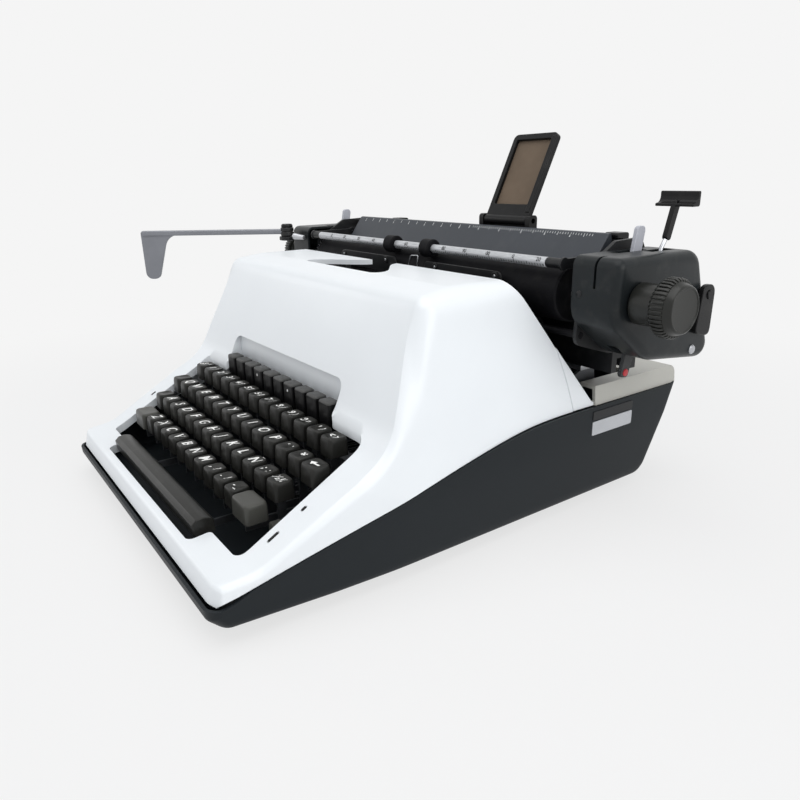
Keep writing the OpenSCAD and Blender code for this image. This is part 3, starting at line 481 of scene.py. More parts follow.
def finer(points: Sequence[Pair], gap: float, closed: bool = True) -> list[Pair]:
    """The same line with points no further apart than gap.

    Args:
        points: The line.
        gap: The widest spacing.
        closed: Whether the last point joins the first.

    Returns:
        The finer line.
    """
    out = []
    count = len(points) if closed else len(points) - 1
    for i in range(count):
        a, b = np.array(points[i], float), np.array(points[(i + 1) % len(points)], float)
        n = max(1, math.ceil(float(np.linalg.norm(b - a)) / gap))
        out += [tuple(a + (b - a) * k / n) for k in range(n)]
    return out if closed else out + [tuple(points[-1])]


def place(axis: Axis, along: float, u: float, v: float) -> Triple:
    """A point from its place along an axis and its two other coordinates, (y, z), (x, z) or (x, y)."""
    return [(along, u, v), (u, along, v), (u, v, along)][axis.value]


def loft(rings: Sequence[Sequence[Triple]], caps: bool = True) -> Form:
    """A skin over closed rings of equal length.

    Args:
        rings: The rings in order.
        caps: Whether the two ends are closed.

    Returns:
        The skin.
    """
    n = len(rings[0])
    points = [p for ring in rings for p in ring]
    faces = [(r * n + i, r * n + (i + 1) % n, (r + 1) * n + (i + 1) % n, (r + 1) * n + i)
             for r in range(len(rings) - 1) for i in range(n)]
    if caps:
        faces += [tuple(reversed(range(n))), tuple(range((len(rings) - 1) * n, len(rings) * n))]
    return Form(points, faces)


def grid(lines: Sequence[Sequence[Triple]]) -> Form:
    """An open sheet over lines of equal length.

    Args:
        lines: The lines in order.

    Returns:
        The sheet.
    """
    n = len(lines[0])
    faces = [(r * n + i, r * n + i + 1, (r + 1) * n + i + 1, (r + 1) * n + i)
             for r in range(len(lines) - 1) for i in range(n - 1)]
    return Form([tuple(p) for line in lines for p in line], faces)


def prism(axis: Axis, shape: Sequence[Pair], low: float, high: float) -> Form:
    """An outline drawn out along an axis from low to high."""
    return loft([[place(axis, d, u, v) for u, v in shape] for d in (low, high)])


def block(low: Triple, high: Triple) -> Form:
    """A box between two corners."""
    return prism(Axis.Z, rectangle(low[:2], high[:2], 0.0), low[2], high[2])


def lathe(axis: Axis, at: Pair, profile: Sequence[Pair], sides: int = 48) -> Form:
    """A profile (along, radius) turned about an axis.

    Args:
        axis: The axis of turning.
        at: Where the axis is, in the two other coordinates.
        profile: Points from one end to the other.
        sides: Number of sides.

    Returns:
        The turned form.
    """
    turns = [2 * math.pi * i / sides for i in range(sides)]
    ring = [(math.cos(t), math.sin(t)) for t in turns]
    return loft([[place(axis, d, at[0] + r * c, at[1] + r * s) for c, s in ring] for d, r in profile])


def rod(axis: Axis, at: Pair, low: float, high: float, radius: float, ease: float = 0.5) -> Form:
    """A round bar with eased ends."""
    return lathe(axis, at, [(low, radius - ease), (low + ease, radius), (high - ease, radius),
                            (high, radius - ease)], 40)


def tube(path: Sequence[Triple], radius: float, sides: int = 12) -> Form:
    """A round wire along a bent line.

    Args:
        path: Points of its middle line.
        radius: Its radius.
        sides: Sides of its section.

    Returns:
        The wire with flat ends.
    """
    line = [Vector(p) for p in path]
    rings = []
    for i, spot in enumerate(line):
        ahead = (line[min(i + 1, len(line) - 1)] - line[max(i - 1, 0)]).normalized()
        first = ahead.cross(Vector((0.0, 1.0, 0.0))).normalized()
        second = ahead.cross(first)
        turns = (2 * math.pi * k / sides for k in range(sides))
        rings.append([tuple(spot + (first * math.cos(t) + second * math.sin(t)) * radius)
                      for t in turns])
    return loft(rings)


def smooth_step(x: np.ndarray, low: float, high: float) -> np.ndarray:
    """Smooth step from 0 at low to 1 at high."""
    t = np.clip((x - low) / (high - low), 0.0, 1.0)
    return t * t * (3 - 2 * t)


def box_mm(node: str) -> tuple[Triple, Triple]:
    """Lowest and highest corner of a frame node, in millimetres."""
    low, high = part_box(node)
    return tuple(c / MM for c in low), tuple(c / MM for c in high)


def baked(made: bpy.types.Object) -> bpy.types.Mesh:
    """A plain mesh of an object as its modifiers leave it."""
    bpy.context.view_layer.update()
    return bpy.data.meshes.new_from_object(made.evaluated_get(bpy.context.evaluated_depsgraph_get()))


class Maker:
    """Turns forms into finished pieces of the object."""

    def __init__(self, repeat: "Repeat") -> None:
        """Start with nothing made."""
        self.repeat = repeat
        self.made: list[bpy.types.Object] = []

    def mesh(self, name: str, form: Form, finish: Finish, sharp: float = SMOOTH,
             recalc: bool = True) -> bpy.types.Object:
        """Make an object of a form.

        Args:
            name: The object's name.
            form: The form.
            finish: Its finish.
            sharp: Edges bent by more than this many degrees stay sharp.
            recalc: Whether the faces are turned outwards, for a closed form.

        Returns:
            The object, at the origin.
        """
        data = bpy.data.meshes.new(name)
        data.from_pydata([tuple(c * MM for c in p) for p in form.points], [], form.faces)
        work = bmesh.new()
        work.from_mesh(data)
        bmesh.ops.remove_doubles(work, verts=work.verts, dist=MERGE)
        bmesh.ops.dissolve_degenerate(work, edges=work.edges, dist=MERGE / 2)
        if recalc:
            bmesh.ops.recalc_face_normals(work, faces=work.faces)
        work.to_mesh(data)
        work.free()
        return self.wrap(name, data, finish, sharp)

    def wrap(self, name: str, data: bpy.types.Mesh, finish: Finish,
             sharp: float = SMOOTH) -> bpy.types.Object:
        """Wrap a finished mesh as a linked object with smooth shading.

        Args:
            name: The object's name.
            data: The mesh.
            finish: Its finish.
            sharp: Edges bent by more than this many degrees stay sharp.

        Returns:
            The object, at the origin.
        """
        data.materials.clear()
        data.materials.append(finish.material())
        data.shade_smooth()
        data.set_sharp_from_angle(angle=math.radians(sharp))
        made = bpy.data.objects.new(name, data)
        bpy.context.scene.collection.objects.link(made)
        return made

    def ease(self, made: bpy.types.Object, width: float, steps: int = 2, angle: float = SMOOTH) -> None:
        """Round the sharp edges with a live bevel.

        Args:
            made: The object.
            width: Width of the rounding in millimetres.
            steps: Segments of the rounding.
            angle: Edges bent by more than this many degrees are rounded.
        """
        bevel = made.modifiers.new("ease", "BEVEL")
        bevel.width = width * MM
        bevel.segments = steps
        bevel.limit_method = "ANGLE"
        bevel.angle_limit = math.radians(angle)
        bevel.use_clamp_overlap = True
        bevel.harden_normals = True

    def thicken(self, made: bpy.types.Object, wall: float) -> None:
        """Give an open shell a wall on its inner side.

        Args:
            made: The shell.
            wall: Thickness in millimetres.
        """
        change = made.modifiers.new("wall", "SOLIDIFY")
        change.thickness = wall * MM
        change.offset = -1.0

    def turn_out(self, made: bpy.types.Object, axis: Axis, sense: float,
                 chosen: Callable[[Vector], bool] = lambda centre: True) -> None:
        """Turn an open shell's faces so that the chosen ones look outwards.

        Args:
            made: The shell.
            axis: The axis that the chosen faces look along.
            sense: 1 if they look up that axis, and -1 if down.
            chosen: Whether a face counts, by its middle.
        """
        total = sum(p.normal[axis.value] * p.area for p in made.data.polygons if chosen(p.center))
        if total * sense < 0:
            made.data.flip_normals()

    def fix(self, made: bpy.types.Object, body: str, finish: Finish, *nodes: str) -> None:
        """Set a piece on its body.

        Args:
            made: The piece.
            body: The body that it rides on.
            finish: Its finish; not used.
            nodes: Frame nodes that it stands for.
        """
        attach(made, body)
        if nodes:
            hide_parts(*nodes)
        self.made.append(made)

    def piece(self, name: str, form: Form, finish: Finish, body: str, *nodes: str, ease: float = 0.0,
              steps: int = 2, sharp: float = SMOOTH, recalc: bool = True) -> None:
        """Make a form and set it on its body.

        Args:
            name: The piece's name.
            form: Its form.
            finish: Its finish.
            body: The body that it rides on.
            nodes: Frame nodes that it stands for.
            ease: Width of the edge rounding, or 0 for none.
            steps: Segments of the rounding.
            sharp: Edges bent by more than this many degrees stay sharp.
            recalc: Whether the faces are turned outwards, for a closed form.
        """
        made = self.mesh(name, form, finish, sharp, recalc)
        if ease:
            self.ease(made, ease, steps)
        self.fix(made, body, finish, *nodes)

    def copies(self, form: Form, finish: Finish, count: int, start: Triple, step: Triple,
               turn: Triple = STILL, sharp: float = SMOOTH) -> bpy.types.Mesh:
        """Repeat a form, which is drawn about the origin.

        Args:
            form: The form.
            finish: The finish of the copies.
            count: Number of copies.
            start: Place of the first copy.
            step: Shift from copy to copy.
            turn: Turn from copy to copy, in degrees about each axis.
            sharp: Edges bent by more than this many degrees stay sharp.

        Returns:
            All the copies as one plain mesh.
        """
        return self.repeat.mesh(self.mesh("shape", form, finish, sharp), finish, count, start, step, turn)

    def lay(self, name: str, data: bpy.types.Mesh, finish: Finish, body: str, *nodes: str,
            sharp: float = SMOOTH) -> None:
        """Wrap a finished mesh as a piece and set it on its body.

        Args:
            name: The piece's name.
            data: Its mesh.
            finish: Its finish.
            body: The body that it rides on.
            nodes: Frame nodes that it stands for.
            sharp: Edges bent by more than this many degrees stay sharp.
        """
        self.fix(self.wrap(name, data, finish, sharp), body, finish, *nodes)

    def merged(self, node: str) -> bpy.types.Mesh:
        """A copy of a frame node's mesh with its triangles merged to whole faces.

        Args:
            node: The frame node.

        Returns:
            The copy.
        """
        data = frame["nodes"][node].data.copy()
        work = bmesh.new()
        work.from_mesh(data)
        bmesh.ops.remove_doubles(work, verts=work.verts, dist=MERGE)
        bmesh.ops.dissolve_limit(work, angle_limit=math.radians(0.8), verts=work.verts, edges=work.edges)
        work.to_mesh(data)
        work.free()
        return data

    def dress(self, node: str, finish: Finish, ease: float = 0.4, steps: int = 2) -> None:
        """Put a copy with eased edges in the place of a frame node.

        Args:
            node: The frame node.
            finish: Its finish.
            ease: Width of the edge rounding.
            steps: Segments of the rounding.
        """
        made = self.wrap(node + "_dressed", self.merged(node), finish)
        self.ease(made, ease, steps)
        self.fix(made, frame["nodes"][node]["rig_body"], finish, node)

    def repaint(self, finish: Finish, *nodes: str) -> None:
        """Give frame nodes that stay a finish of their own.

        Args:
            finish: The finish.
            nodes: The frame nodes.
        """
        for node in nodes:
            data = frame["nodes"][node].data
            data.materials.clear()
            data.materials.append(finish.material())

    def cut(self, made: bpy.types.Object, cutter: Form) -> None:
        """Take a form out of a piece for good, with its modifiers so far.

        Args:
            made: The piece.
            cutter: The form to take out.
        """
        tool = self.mesh("cutter", cutter, STEEL)
        change = made.modifiers.new("cut", "BOOLEAN")
        change.object = tool
        change.solver = "EXACT"
        data = baked(made)
        made.modifiers.clear()
        made.data = data
        bpy.data.objects.remove(tool)
        data.shade_smooth()
        data.set_sharp_from_angle(angle=math.radians(SMOOTH))


class Repeat:
    """A node tree that repeats a shape in equal steps and turns."""

    INPUTS = (("Count", "NodeSocketInt"), ("Start", "NodeSocketVector"), ("Step", "NodeSocketVector"),
              ("Turn", "NodeSocketVector"), ("Shape", "NodeSocketObject"), ("Finish", "NodeSocketMaterial"))

    def __init__(self) -> None:
        """Lay the tree out."""
        self.tree = bpy.data.node_groups.new("repeat", "GeometryNodeTree")
        face = self.tree.interface
        self.sockets = {name: face.new_socket(name, in_out="INPUT", socket_type=kind).identifier
                        for name, kind in self.INPUTS}
        face.new_socket("Geometry", in_out="OUTPUT", socket_type="NodeSocketGeometry")
        add, link = self.tree.nodes.new, self.tree.links.new
        given, out = add("NodeGroupInput"), add("NodeGroupOutput")
        line, index = add("GeometryNodeMeshLine"), add("GeometryNodeInputIndex")
        turn, shape = add("ShaderNodeVectorMath"), add("GeometryNodeObjectInfo")
        copies, real = add("GeometryNodeInstanceOnPoints"), add("GeometryNodeRealizeInstances")
        paint = add("GeometryNodeSetMaterial")
        line.mode = "OFFSET"
        turn.operation = "SCALE"
        link(given.outputs["Count"], line.inputs["Count"])
        link(given.outputs["Start"], line.inputs["Start Location"])
        link(given.outputs["Step"], line.inputs["Offset"])
        link(given.outputs["Turn"], turn.inputs[0])
        link(index.outputs[0], turn.inputs["Scale"])
        link(given.outputs["Shape"], shape.inputs["Object"])
        link(line.outputs["Mesh"], copies.inputs["Points"])
        link(shape.outputs["Geometry"], copies.inputs["Instance"])
        link(turn.outputs[0], copies.inputs["Rotation"])
        link(copies.outputs["Instances"], real.inputs["Geometry"])
        link(real.outputs["Geometry"], paint.inputs["Geometry"])
        link(given.outputs["Finish"], paint.inputs["Material"])
        link(paint.outputs["Geometry"], out.inputs["Geometry"])

    def mesh(self, shape: bpy.types.Object, finish: Finish, count: int, start: Triple, step: Triple,
             turn: Triple) -> bpy.types.Mesh:
        """Repeat a shape.

        Args:
            shape: The object to repeat, about its own origin; it is used up.
            finish: The finish of the copies.
            count: Number of copies.
            start: Place of the first copy.
            step: Shift from copy to copy.
            turn: Turn from copy to copy, in degrees about each axis.

        Returns:
            All the copies as one plain mesh.
        """
        host = bpy.data.objects.new("repeat_host", bpy.data.meshes.new("repeat_host"))
        bpy.context.scene.collection.objects.link(host)
        nodes = host.modifiers.new("repeat", "NODES")
        nodes.node_group = self.tree
        values = {"Count": count, "Start": [c * MM for c in start], "Step": [c * MM for c in step],
                  "Turn": [math.radians(c) for c in turn], "Shape": shape, "Finish": finish.material()}
        for name, value in values.items():
            nodes[self.sockets[name]] = value
        data = baked(host)
        bpy.data.objects.remove(host)
        bpy.data.objects.remove(shape)
        return data


def joined(meshes: Iterable[bpy.types.Mesh], name: str) -> bpy.types.Mesh:
    """One mesh of several.

    Args:
        meshes: The meshes.
        name: Name of the new mesh.

    Returns:
        The new mesh.
    """
    work = bmesh.new()
    for data in meshes:
        work.from_mesh(data)
    out = bpy.data.meshes.new(name)
    work.to_mesh(out)
    work.free()
    return out


def lettering(text: str, size: float) -> Form:
    """Flat lettering in the X-Y plane, centred on the origin.

    Args:
        text: What it says.
        size: Height of the font in millimetres.

    Returns:
        The glyphs' faces.
    """
    curve = bpy.data.curves.new("glyphs", "FONT")
    curve.body = text
    curve.size = size
    curve.align_x = "CENTER"
    curve.align_y = "CENTER"
    curve.resolution_u = 3
    curve.offset = 0.018 * size
    holder = bpy.data.objects.new("glyphs", curve)
    bpy.context.scene.collection.objects.link(holder)
    data = baked(holder)
    form = Form([tuple(v.co) for v in data.vertices], [tuple(p.vertices) for p in data.polygons])
    bpy.data.objects.remove(holder)
    bpy.data.meshes.remove(data)
    return form


MAKER = Maker(Repeat())


class Profile:
    """A line in the Y-Z plane with a length along it and a signed distance from it."""

    BEYOND = 400.0

    def __init__(self, points: Sequence[Pair], outer: float) -> None:
        """Keep a line, which goes on straight past its ends.

        Args:
            points: Its points.
            outer: 1 if outside lies to its left, and -1 if to its right.
        """
        self.points = np.array(points, float)
        self.outer = outer
        steps = np.linalg.norm(np.diff(self.points, axis=0), axis=1)
        self.length = np.concatenate([[0.0], np.cumsum(steps)])
        first = self.points[0] + (self.points[0] - self.points[1]) / steps[0] * self.BEYOND
        last = self.points[-1] + (self.points[-1] - self.points[-2]) / steps[-1] * self.BEYOND
        self.reach = np.vstack([first, self.points[1:-1], last])

    def at(self, s: np.ndarray) -> tuple[np.ndarray, np.ndarray]:
        """Y and Z at a length along the line."""
        return np.interp(s, self.length, self.points[:, 0]), np.interp(s, self.length, self.points[:, 1])

    def along_y(self, y: float) -> float:
        """Length along the line where it passes y."""
        return float(np.interp(y, self.points[:, 0], self.length))

    def along_z(self, z: float) -> float:
        """Length along the line where it passes z."""
        return float(np.interp(z, self.points[:, 1], self.length))

    def distance(self, y: np.ndarray, z: np.ndarray) -> np.ndarray:
        """Signed distance from the line, positive outside.

        Args:
            y: Places along Y.
            z: Places along Z.

        Returns:
            The distances.
        """
        best = np.full(y.shape, 1e9)
        sign = np.ones(y.shape)
        for a, b in zip(self.reach[:-1], self.reach[1:]):
            d = b - a
            t = np.clip(((y - a[0]) * d[0] + (z - a[1]) * d[1]) / (d @ d), 0, 1)
            gap = np.hypot(y - a[0] - t * d[0], z - a[1] - t * d[1])
            side = d[0] * (z - a[1]) - d[1] * (y - a[0])
            nearer = gap < best
            best = np.where(nearer, gap, best)
            sign = np.where(nearer, np.where(side >= 0, 1.0, -1.0), sign)
        return best * sign * self.outer


@dataclass
class Shell:
    """A moulded casing shell between a profile and two drafted sides, with a rounded edge between them."""

    EDGE_SHARES = (0.12, 0.35, 0.6, 0.85)

    profile: Profile
    half_width: Callable[[np.ndarray, np.ndarray], np.ndarray]
    edge_width: Callable[[np.ndarray], np.ndarray]
    edge_of: Callable[[np.ndarray], tuple[np.ndarray, np.ndarray]]
    rear_bow: Callable[[np.ndarray], np.ndarray]
    bow_from: float
    rows: int = 16
    side_slope: float = 0.989
    crease: Callable[[np.ndarray], np.ndarray] = lambda y: 0.0 * y

    def excess(self, p: np.ndarray) -> np.ndarray:
        """How far points lie outside the shell, whose rounded edge leaves the sheet at the crease angle.

        Args:
            p: The points.

        Returns:
            The distances, negative inside.
        """
        x, y, z = p.T
        turn = self.crease(y)
        r = self.edge_width(y) / (1 - np.sin(turn))
        a = self.profile.distance(y, z) - r * (1 - np.cos(turn))
        b = (np.abs(x) - self.half_width(y, z)) * self.side_slope
        return np.minimum(np.maximum(a, b), -r) + np.hypot(np.maximum(a + r, 0), np.maximum(b + r, 0))

    def settle(self, p: np.ndarray, rounds: int = 7) -> np.ndarray:
        """Move points onto the rounded shell.

        Args:
            p: Points near the shell.
            rounds: Newton steps.

        Returns:
            Points on the shell.
        """
        h = 0.02
        for _ in range(rounds):
            off = self.excess(p)
            slope = np.stack([(self.excess(p + h * e) - self.excess(p - h * e)) / (2 * h)
                              for e in np.eye(3)], 1)
            p = p - slope * (off / np.maximum(1e-6, (slope ** 2).sum(1)))[:, None]
        return p

    def stations(self, gap: float) -> np.ndarray:
        """Lengths along the profile where the mesh has its ribs.

        Args:
            gap: The widest spacing.

        Returns:
            The lengths.
        """
        line = np.array(finer([tuple(p) for p in self.profile.points], gap, closed=False))
        steps = np.linalg.norm(np.diff(line, axis=0), axis=1)
        return np.concatenate([[0.0], np.cumsum(steps)])

    def inner(self, s: np.ndarray) -> np.ndarray:
        """Half width of the flat sheet before the rounded edge starts."""
        y, z = self.profile.at(s)
        return self.half_width(y, z) - self.edge_width(y) / self.side_slope

    def side(self, s: np.ndarray) -> Form:
        """The rounded edge and the right side wall, from the sheet's border to the shell's far edge.

        Args:
            s: Lengths along the profile of the ribs.

        Returns:
            The wall, its first points along the sheet's border.
        """
        y, z = self.profile.at(s)
        x_in, x_out = self.inner(s), self.half_width(y, z)
        yb, zb = self.edge_of(y)
        lines = [np.stack([x_in, y, z], 1)]
        for share in self.EDGE_SHARES:
            lines.append(self.settle(np.stack([x_in + (x_out - x_in) * share, y, z], 1)))
        weight = smooth_step(np.linspace(0, 1, len(s)), self.bow_from, 1.0)
        for k in range(self.rows):
            t = (k / (self.rows - 1)) ** 1.6
            zz = z + (zb - z) * t
            yy = y + (yb - y) * t + weight * self.rear_bow(np.full(len(s), t))
            lines.append(self.settle(np.stack([self.half_width(yy, zz), yy, zz], 1)))
        for row in lines[1:]:
            fall = np.clip((z[-1] - row[-1:, 2]) / (z[-1] - zb[-1]), 0, 1)
            row[-1, 1] = (y[-1] + (yb[-1] - y[-1]) * fall + weight[-1] * self.rear_bow(fall))[0]
            row[-1:] = self.settle(row[-1:], 3)
        return grid(lines)


def inside(points: np.ndarray, loop: Sequence[Pair]) -> np.ndarray:
    """Which points lie inside a closed loop.

    Args:
        points: Points in the plane.
        loop: The loop's corners.

    Returns:
        One truth value per point.
    """
    x, y = points[:, 0], points[:, 1]
    found = np.zeros(len(points), bool)
    for (x1, y1), (x2, y2) in zip(loop, list(loop[1:]) + [loop[0]]):
        crosses = (y1 > y) != (y2 > y)
        with np.errstate(divide="ignore", invalid="ignore"):
            found ^= crosses & (x < (x2 - x1) * (y - y1) / (y2 - y1) + x1)
    return found


def within(points: np.ndarray, loops: Sequence[Sequence[Pair]]) -> np.ndarray:
    """Which points lie inside the first loop and outside all others.

    Args:
        points: Points in the plane.
        loops: The outer loop and those of the openings.

    Returns:
        One truth value per point.
    """
    found = inside(points, loops[0])
    for loop in loops[1:]:
        found &= ~inside(points, loop)
    return found


@dataclass
class Casing:
    """The hood, the tub under it, the rear deck and the feet."""

    half: float = 168.0
    waist: float = 60.0
    taper_from: float = -80.0
    taper_ease: float = 8.0
    belt_top: float = 83.0
    belt_fall: float = 58.0
    belt_from: float = 40.0
    belt_reach: float = 243.0
    belt_ease: float = 26.0
    belt_curve: float = 1.18
    seam: float = 0.6
    rib_gap: float = 4.0
    cell: float = 6.0
    hood_taper: float = 0.088
    hood_lean: float = 0.1475
    hood_top: float = 182.0
    hood_low: float = 83.6
    hood_round: float = 4.4
    hood_widening: tuple = ((7.1, -192.0, -198.5), (6.6, -80.0, -52.0), (3.0, -44.0, -8.0))
    hood_lift: float = 0.6
    crease_turn: float = 24.0
    rim_y: float = 26.0
    end_y: float = 100.0
    hinge: Pair = (-191.8, 29.0)
    swing: float = 275.5
    opening: tuple = ((-136, -176), (136, -84))
    notch_half: float = 96.0
    notch_y: float = -191.0
    recess_half: float = 90.5
    recess_y: float = -69.0
    recess_top: float = 118.5
    recess_wall: Pair = (97.0, 121.0)
    type_gap: tuple = ((53.0, -20.0), (18.0, 26.0))
    slots: tuple = ((143.0, -155.0, 8.0), (143.0, -134.0, 4.0), (-148.0, -135.0, 5.0))
    slot_half: float = 1.2
    panel_tilt: float = 29.0
    sheet: float = 2.4
    flange: float = 7.0
    slot_flange: float = 3.0
    rim_flange: float = 4.0
    hood_lug: Triple = (111.0, 115.0, 36.6)
    tub_taper: float = 0.0569
    tub_lean: float = 0.074
    tub_round: float = 6.0
    tub_drop: float = 2.0
    tub_wall: float = 2.2
    tub_bottom: float = 12.0
    tub_lug: Pair = (118.0, 122.0)
    foot_at: Pair = (125.0, 110.0)
    foot_line: tuple = ((0.0, 3.2), (0.0, 13.4), (0.8, 14.6), (2.0, 15.0), (8.0, 13.2), (8.0, 3.2))
    cheek_y: float = 101.6
    plate_split: float = 11.5
    hood_corners: tuple = ((-199.4, 26.61, 0.0), (-196.4, 38.2, 3.6), (-172.0, 41.0, 30.0),
                           (-83.0, 91.0, 45.0), (-47.0, 178.3, 11.0), (-20.0, 182.0, 20.0),
                           (26.0, 182.0, 0.0))
    hood_fan: tuple = ((-199.4, -199.4), (-172.0, -172.0), (-83.0, -72.0), (-47.0, 2.0))
    tub_corners: tuple = ((-202.9, 25.0, 0.0), (-202.4, 18.4, 5.5), (-193.0, 9.9, 12.0),
                          (-125.0, 8.0, 90.0), (172.0, 8.0, 16.0), (203.0, 83.0, 0.0))
    tub_fan: tuple = ((-202.9, -194.0), (-202.4, -189.0), (-193.0, -179.0), (-125.0, -125.0),
                      (203.0, 203.0))

    def belt(self, y: np.ndarray) -> np.ndarray:
        """Height of the belt line between tub and hood.

        Args:
            y: Places along Y.

        Returns:
            The heights.
        """
        ahead = self.belt_from - np.asarray(y, float)
        whole = self.belt_reach + math.sqrt(self.belt_reach ** 2 + self.belt_ease ** 2)
        eased = (ahead + np.sqrt(ahead ** 2 + self.belt_ease ** 2)) / whole
        return self.belt_top - self.belt_fall * eased ** self.belt_curve

    def plan(self, y: np.ndarray, taper: float) -> np.ndarray:
        """Half width in plan, which narrows towards the front by a taper."""
        ahead = self.taper_from - y
        return self.half - taper * 0.5 * (ahead + np.sqrt(ahead ** 2 + self.taper_ease ** 2))

    def hood_half(self, y: np.ndarray, z: np.ndarray) -> np.ndarray:
        """Half width of the hood at a place on its side."""
        return np.minimum(self.plan(y, self.hood_taper), self.half - self.hood_lean * (z - self.waist))

    def hood_rounding(self, y: np.ndarray) -> np.ndarray:
        """Width of the rounded edge: tight along the keyboard, wide at the nose and over the top."""
        return sum((more * smooth_step(y, low, high) for more, low, high in self.hood_widening),
                   self.hood_round)

    def hood_crease(self, y: np.ndarray) -> np.ndarray:
        """Angle at which the rounded edge leaves the front panel, to give the panel its crisp border."""
        share = smooth_step(y, -150.0, -100.0) * (1 - smooth_step(y, -61.0, -47.0))
        return math.radians(self.crease_turn) * share

    def swing_y(self, z: np.ndarray) -> np.ndarray:
        """Y at height z on the arc about the hinge that the hood's rear edge swings along."""
        return self.hinge[0] + np.sqrt(self.swing ** 2 - (z - self.hinge[1]) ** 2)

    def hood_edge(self, y: np.ndarray) -> tuple[np.ndarray, np.ndarray]:
        """Where side ribs end above the belt line, a little higher round the nose.

        Args:
            y: Where the ribs start.

        Returns:
            Y and Z of their ends.
        """
        starts, ends = zip(*self.hood_fan, (self.rim_y, self.swing_y(self.hood_low)))
        low = np.interp(y, starts, ends)
        lift = self.hood_lift * (1 - smooth_step(low, -194.0, -184.0))
        return low, self.belt(low) + self.seam + lift

    def hood_bow(self, t: np.ndarray) -> np.ndarray:
        """How far the hood's rear edge bows back from a straight line.

        Args:
            t: Shares of its height, from the top.

        Returns:
            The distances.
        """
        z = self.hood_top + (self.hood_low - self.hood_top) * t
        run = (self.end_y - self.rim_y) / (self.hood_top - self.hood_low)
        slope = self.rim_y + (self.hood_top - z) * run
        straight = self.rim_y + (self.swing_y(self.hood_low) - self.rim_y) * t
        return np.minimum(slope, self.swing_y(z)) - straight

    def keyboard_loop(self, line: Profile) -> list[Pair]:
        """Border of the keyboard opening with its notch and its recess.

        Args:
            line: The hood's profile.

        Returns:
            Points over X and length along the hood.
        """
        (x0, y0), (x1, y1) = self.opening
        front, rear, notch = line.along_y(y0), line.along_y(y1), line.along_y(self.notch_y)
        top = line.along_z(self.recess_top)
        nh, rh = self.notch_half, self.recess_half
        corners = [(x0, front, 6), (-nh, front, 3), (-nh, notch, 5), (nh, notch, 5), (nh, front, 3),
                   (x1, front, 6), (x1, rear, 10), (rh, rear, 5), (rh, top, 8), (-rh, top, 8),
                   (-rh, rear, 5), (x0, rear, 10)]
        return finer(outline(corners, 6), 3.0)

    def type_edge(self, line: Profile) -> list[Pair]:
        """Border of the type opening from its right end at the rim to its left end.

        Args:
            line: The hood's profile.

        Returns:
            Points over X and length along the hood.
        """
        (wide, y0), (tight, y1) = self.type_gap
        steps, corner = 14, 6.0
        right = []
        for k in range(steps + 1):
            share = float(smooth_step(np.array(k / steps), 0.0, 1.0))
            right.append((tight + (wide - tight) * share,
                          line.along_y(y1 + (y0 + corner + 1 - y1) * k / steps)))
        for a in (math.radians(15 * k) for k in range(1, 7)):
            right.append((wide - corner + corner * math.cos(a),
                          line.along_y(y0 + corner - corner * math.sin(a))))
        left = [(-x, s) for x, s in reversed(right)]
        return right + finer([right[-1], left[0]], self.cell, closed=False)[1:-1] + left

    def hood_sheet(self, shell: Shell, ribs: np.ndarray) -> Form:
        """The hood's top sheet with its openings and their flanges.

        Args:
            shell: The hood's shell.
            ribs: Lengths along the profile of its ribs.

        Returns:
            The sheet's faces.
        """
        line = shell.profile
        side = list(zip(shell.inner(ribs), ribs))
        gap = self.type_edge(line)
        rim = finer([side[-1], gap[0]], self.cell, closed=False)[1:-1]
        border = side + rim + gap + [(-x, s) for x, s in reversed(side + rim)]
        front = finer([border[-1], border[0]], self.cell, closed=False)[1:-1]
        loops = [border + front, self.keyboard_loop(line)]
        for x, y, long in self.slots:
            a, b = line.along_y(y - long / 2), line.along_y(y + long / 2)
            loops.append(rectangle((x - self.slot_half, a), (x + self.slot_half, b), 1.0, 3))
        flat = [p for loop in loops for p in loop]
        edges, base = [], 0
        for loop in loops:
            edges += [(base + i, base + (i + 1) % len(loop)) for i in range(len(loop))]
            base += len(loop)
        columns = np.arange(-self.half, self.half + 1, self.cell)
        cells = np.array([(x, s) for s in ribs[1:-1:2] for x in columns])
        ring = np.array(flat)
        clear = np.array([np.min(np.hypot(*(ring - c).T)) > 2.4 for c in cells])
        flat += [tuple(c) for c in cells[within(cells, loops) & clear]]
        spots, _, faces, origin, _, _ = delaunay_2d_cdt([Vector(p) for p in flat], edges, [], 0, 1e-6)
        where = {k: i for i, group in enumerate(origin) for k in group}
        spots = np.array([tuple(v) for v in spots])
        good = within(np.array([spots[list(f)].mean(0) for f in faces]), loops)
        form = Form(list(zip(spots[:, 0], *line.at(spots[:, 1]))),
                    [tuple(f) for f, g in zip(faces, good) if g])
        rear = line.along_y(self.opening[1][1]) + 4.0
        base = len(loops[0])
        for loop, drop in zip(loops[1:], [self.flange] + [self.slot_flange] * len(self.slots)):
            form = self.add_flange(form, [where[base + i] for i in range(len(loop))], loop, drop, rear)
            base += len(loop)
        first = len(ribs) - 1
        lip = [where[first + i] for i in range(len(rim) * 2 + len(gap) + 2)]
        return self.add_flange(form, lip, None, self.rim_flange, rear)

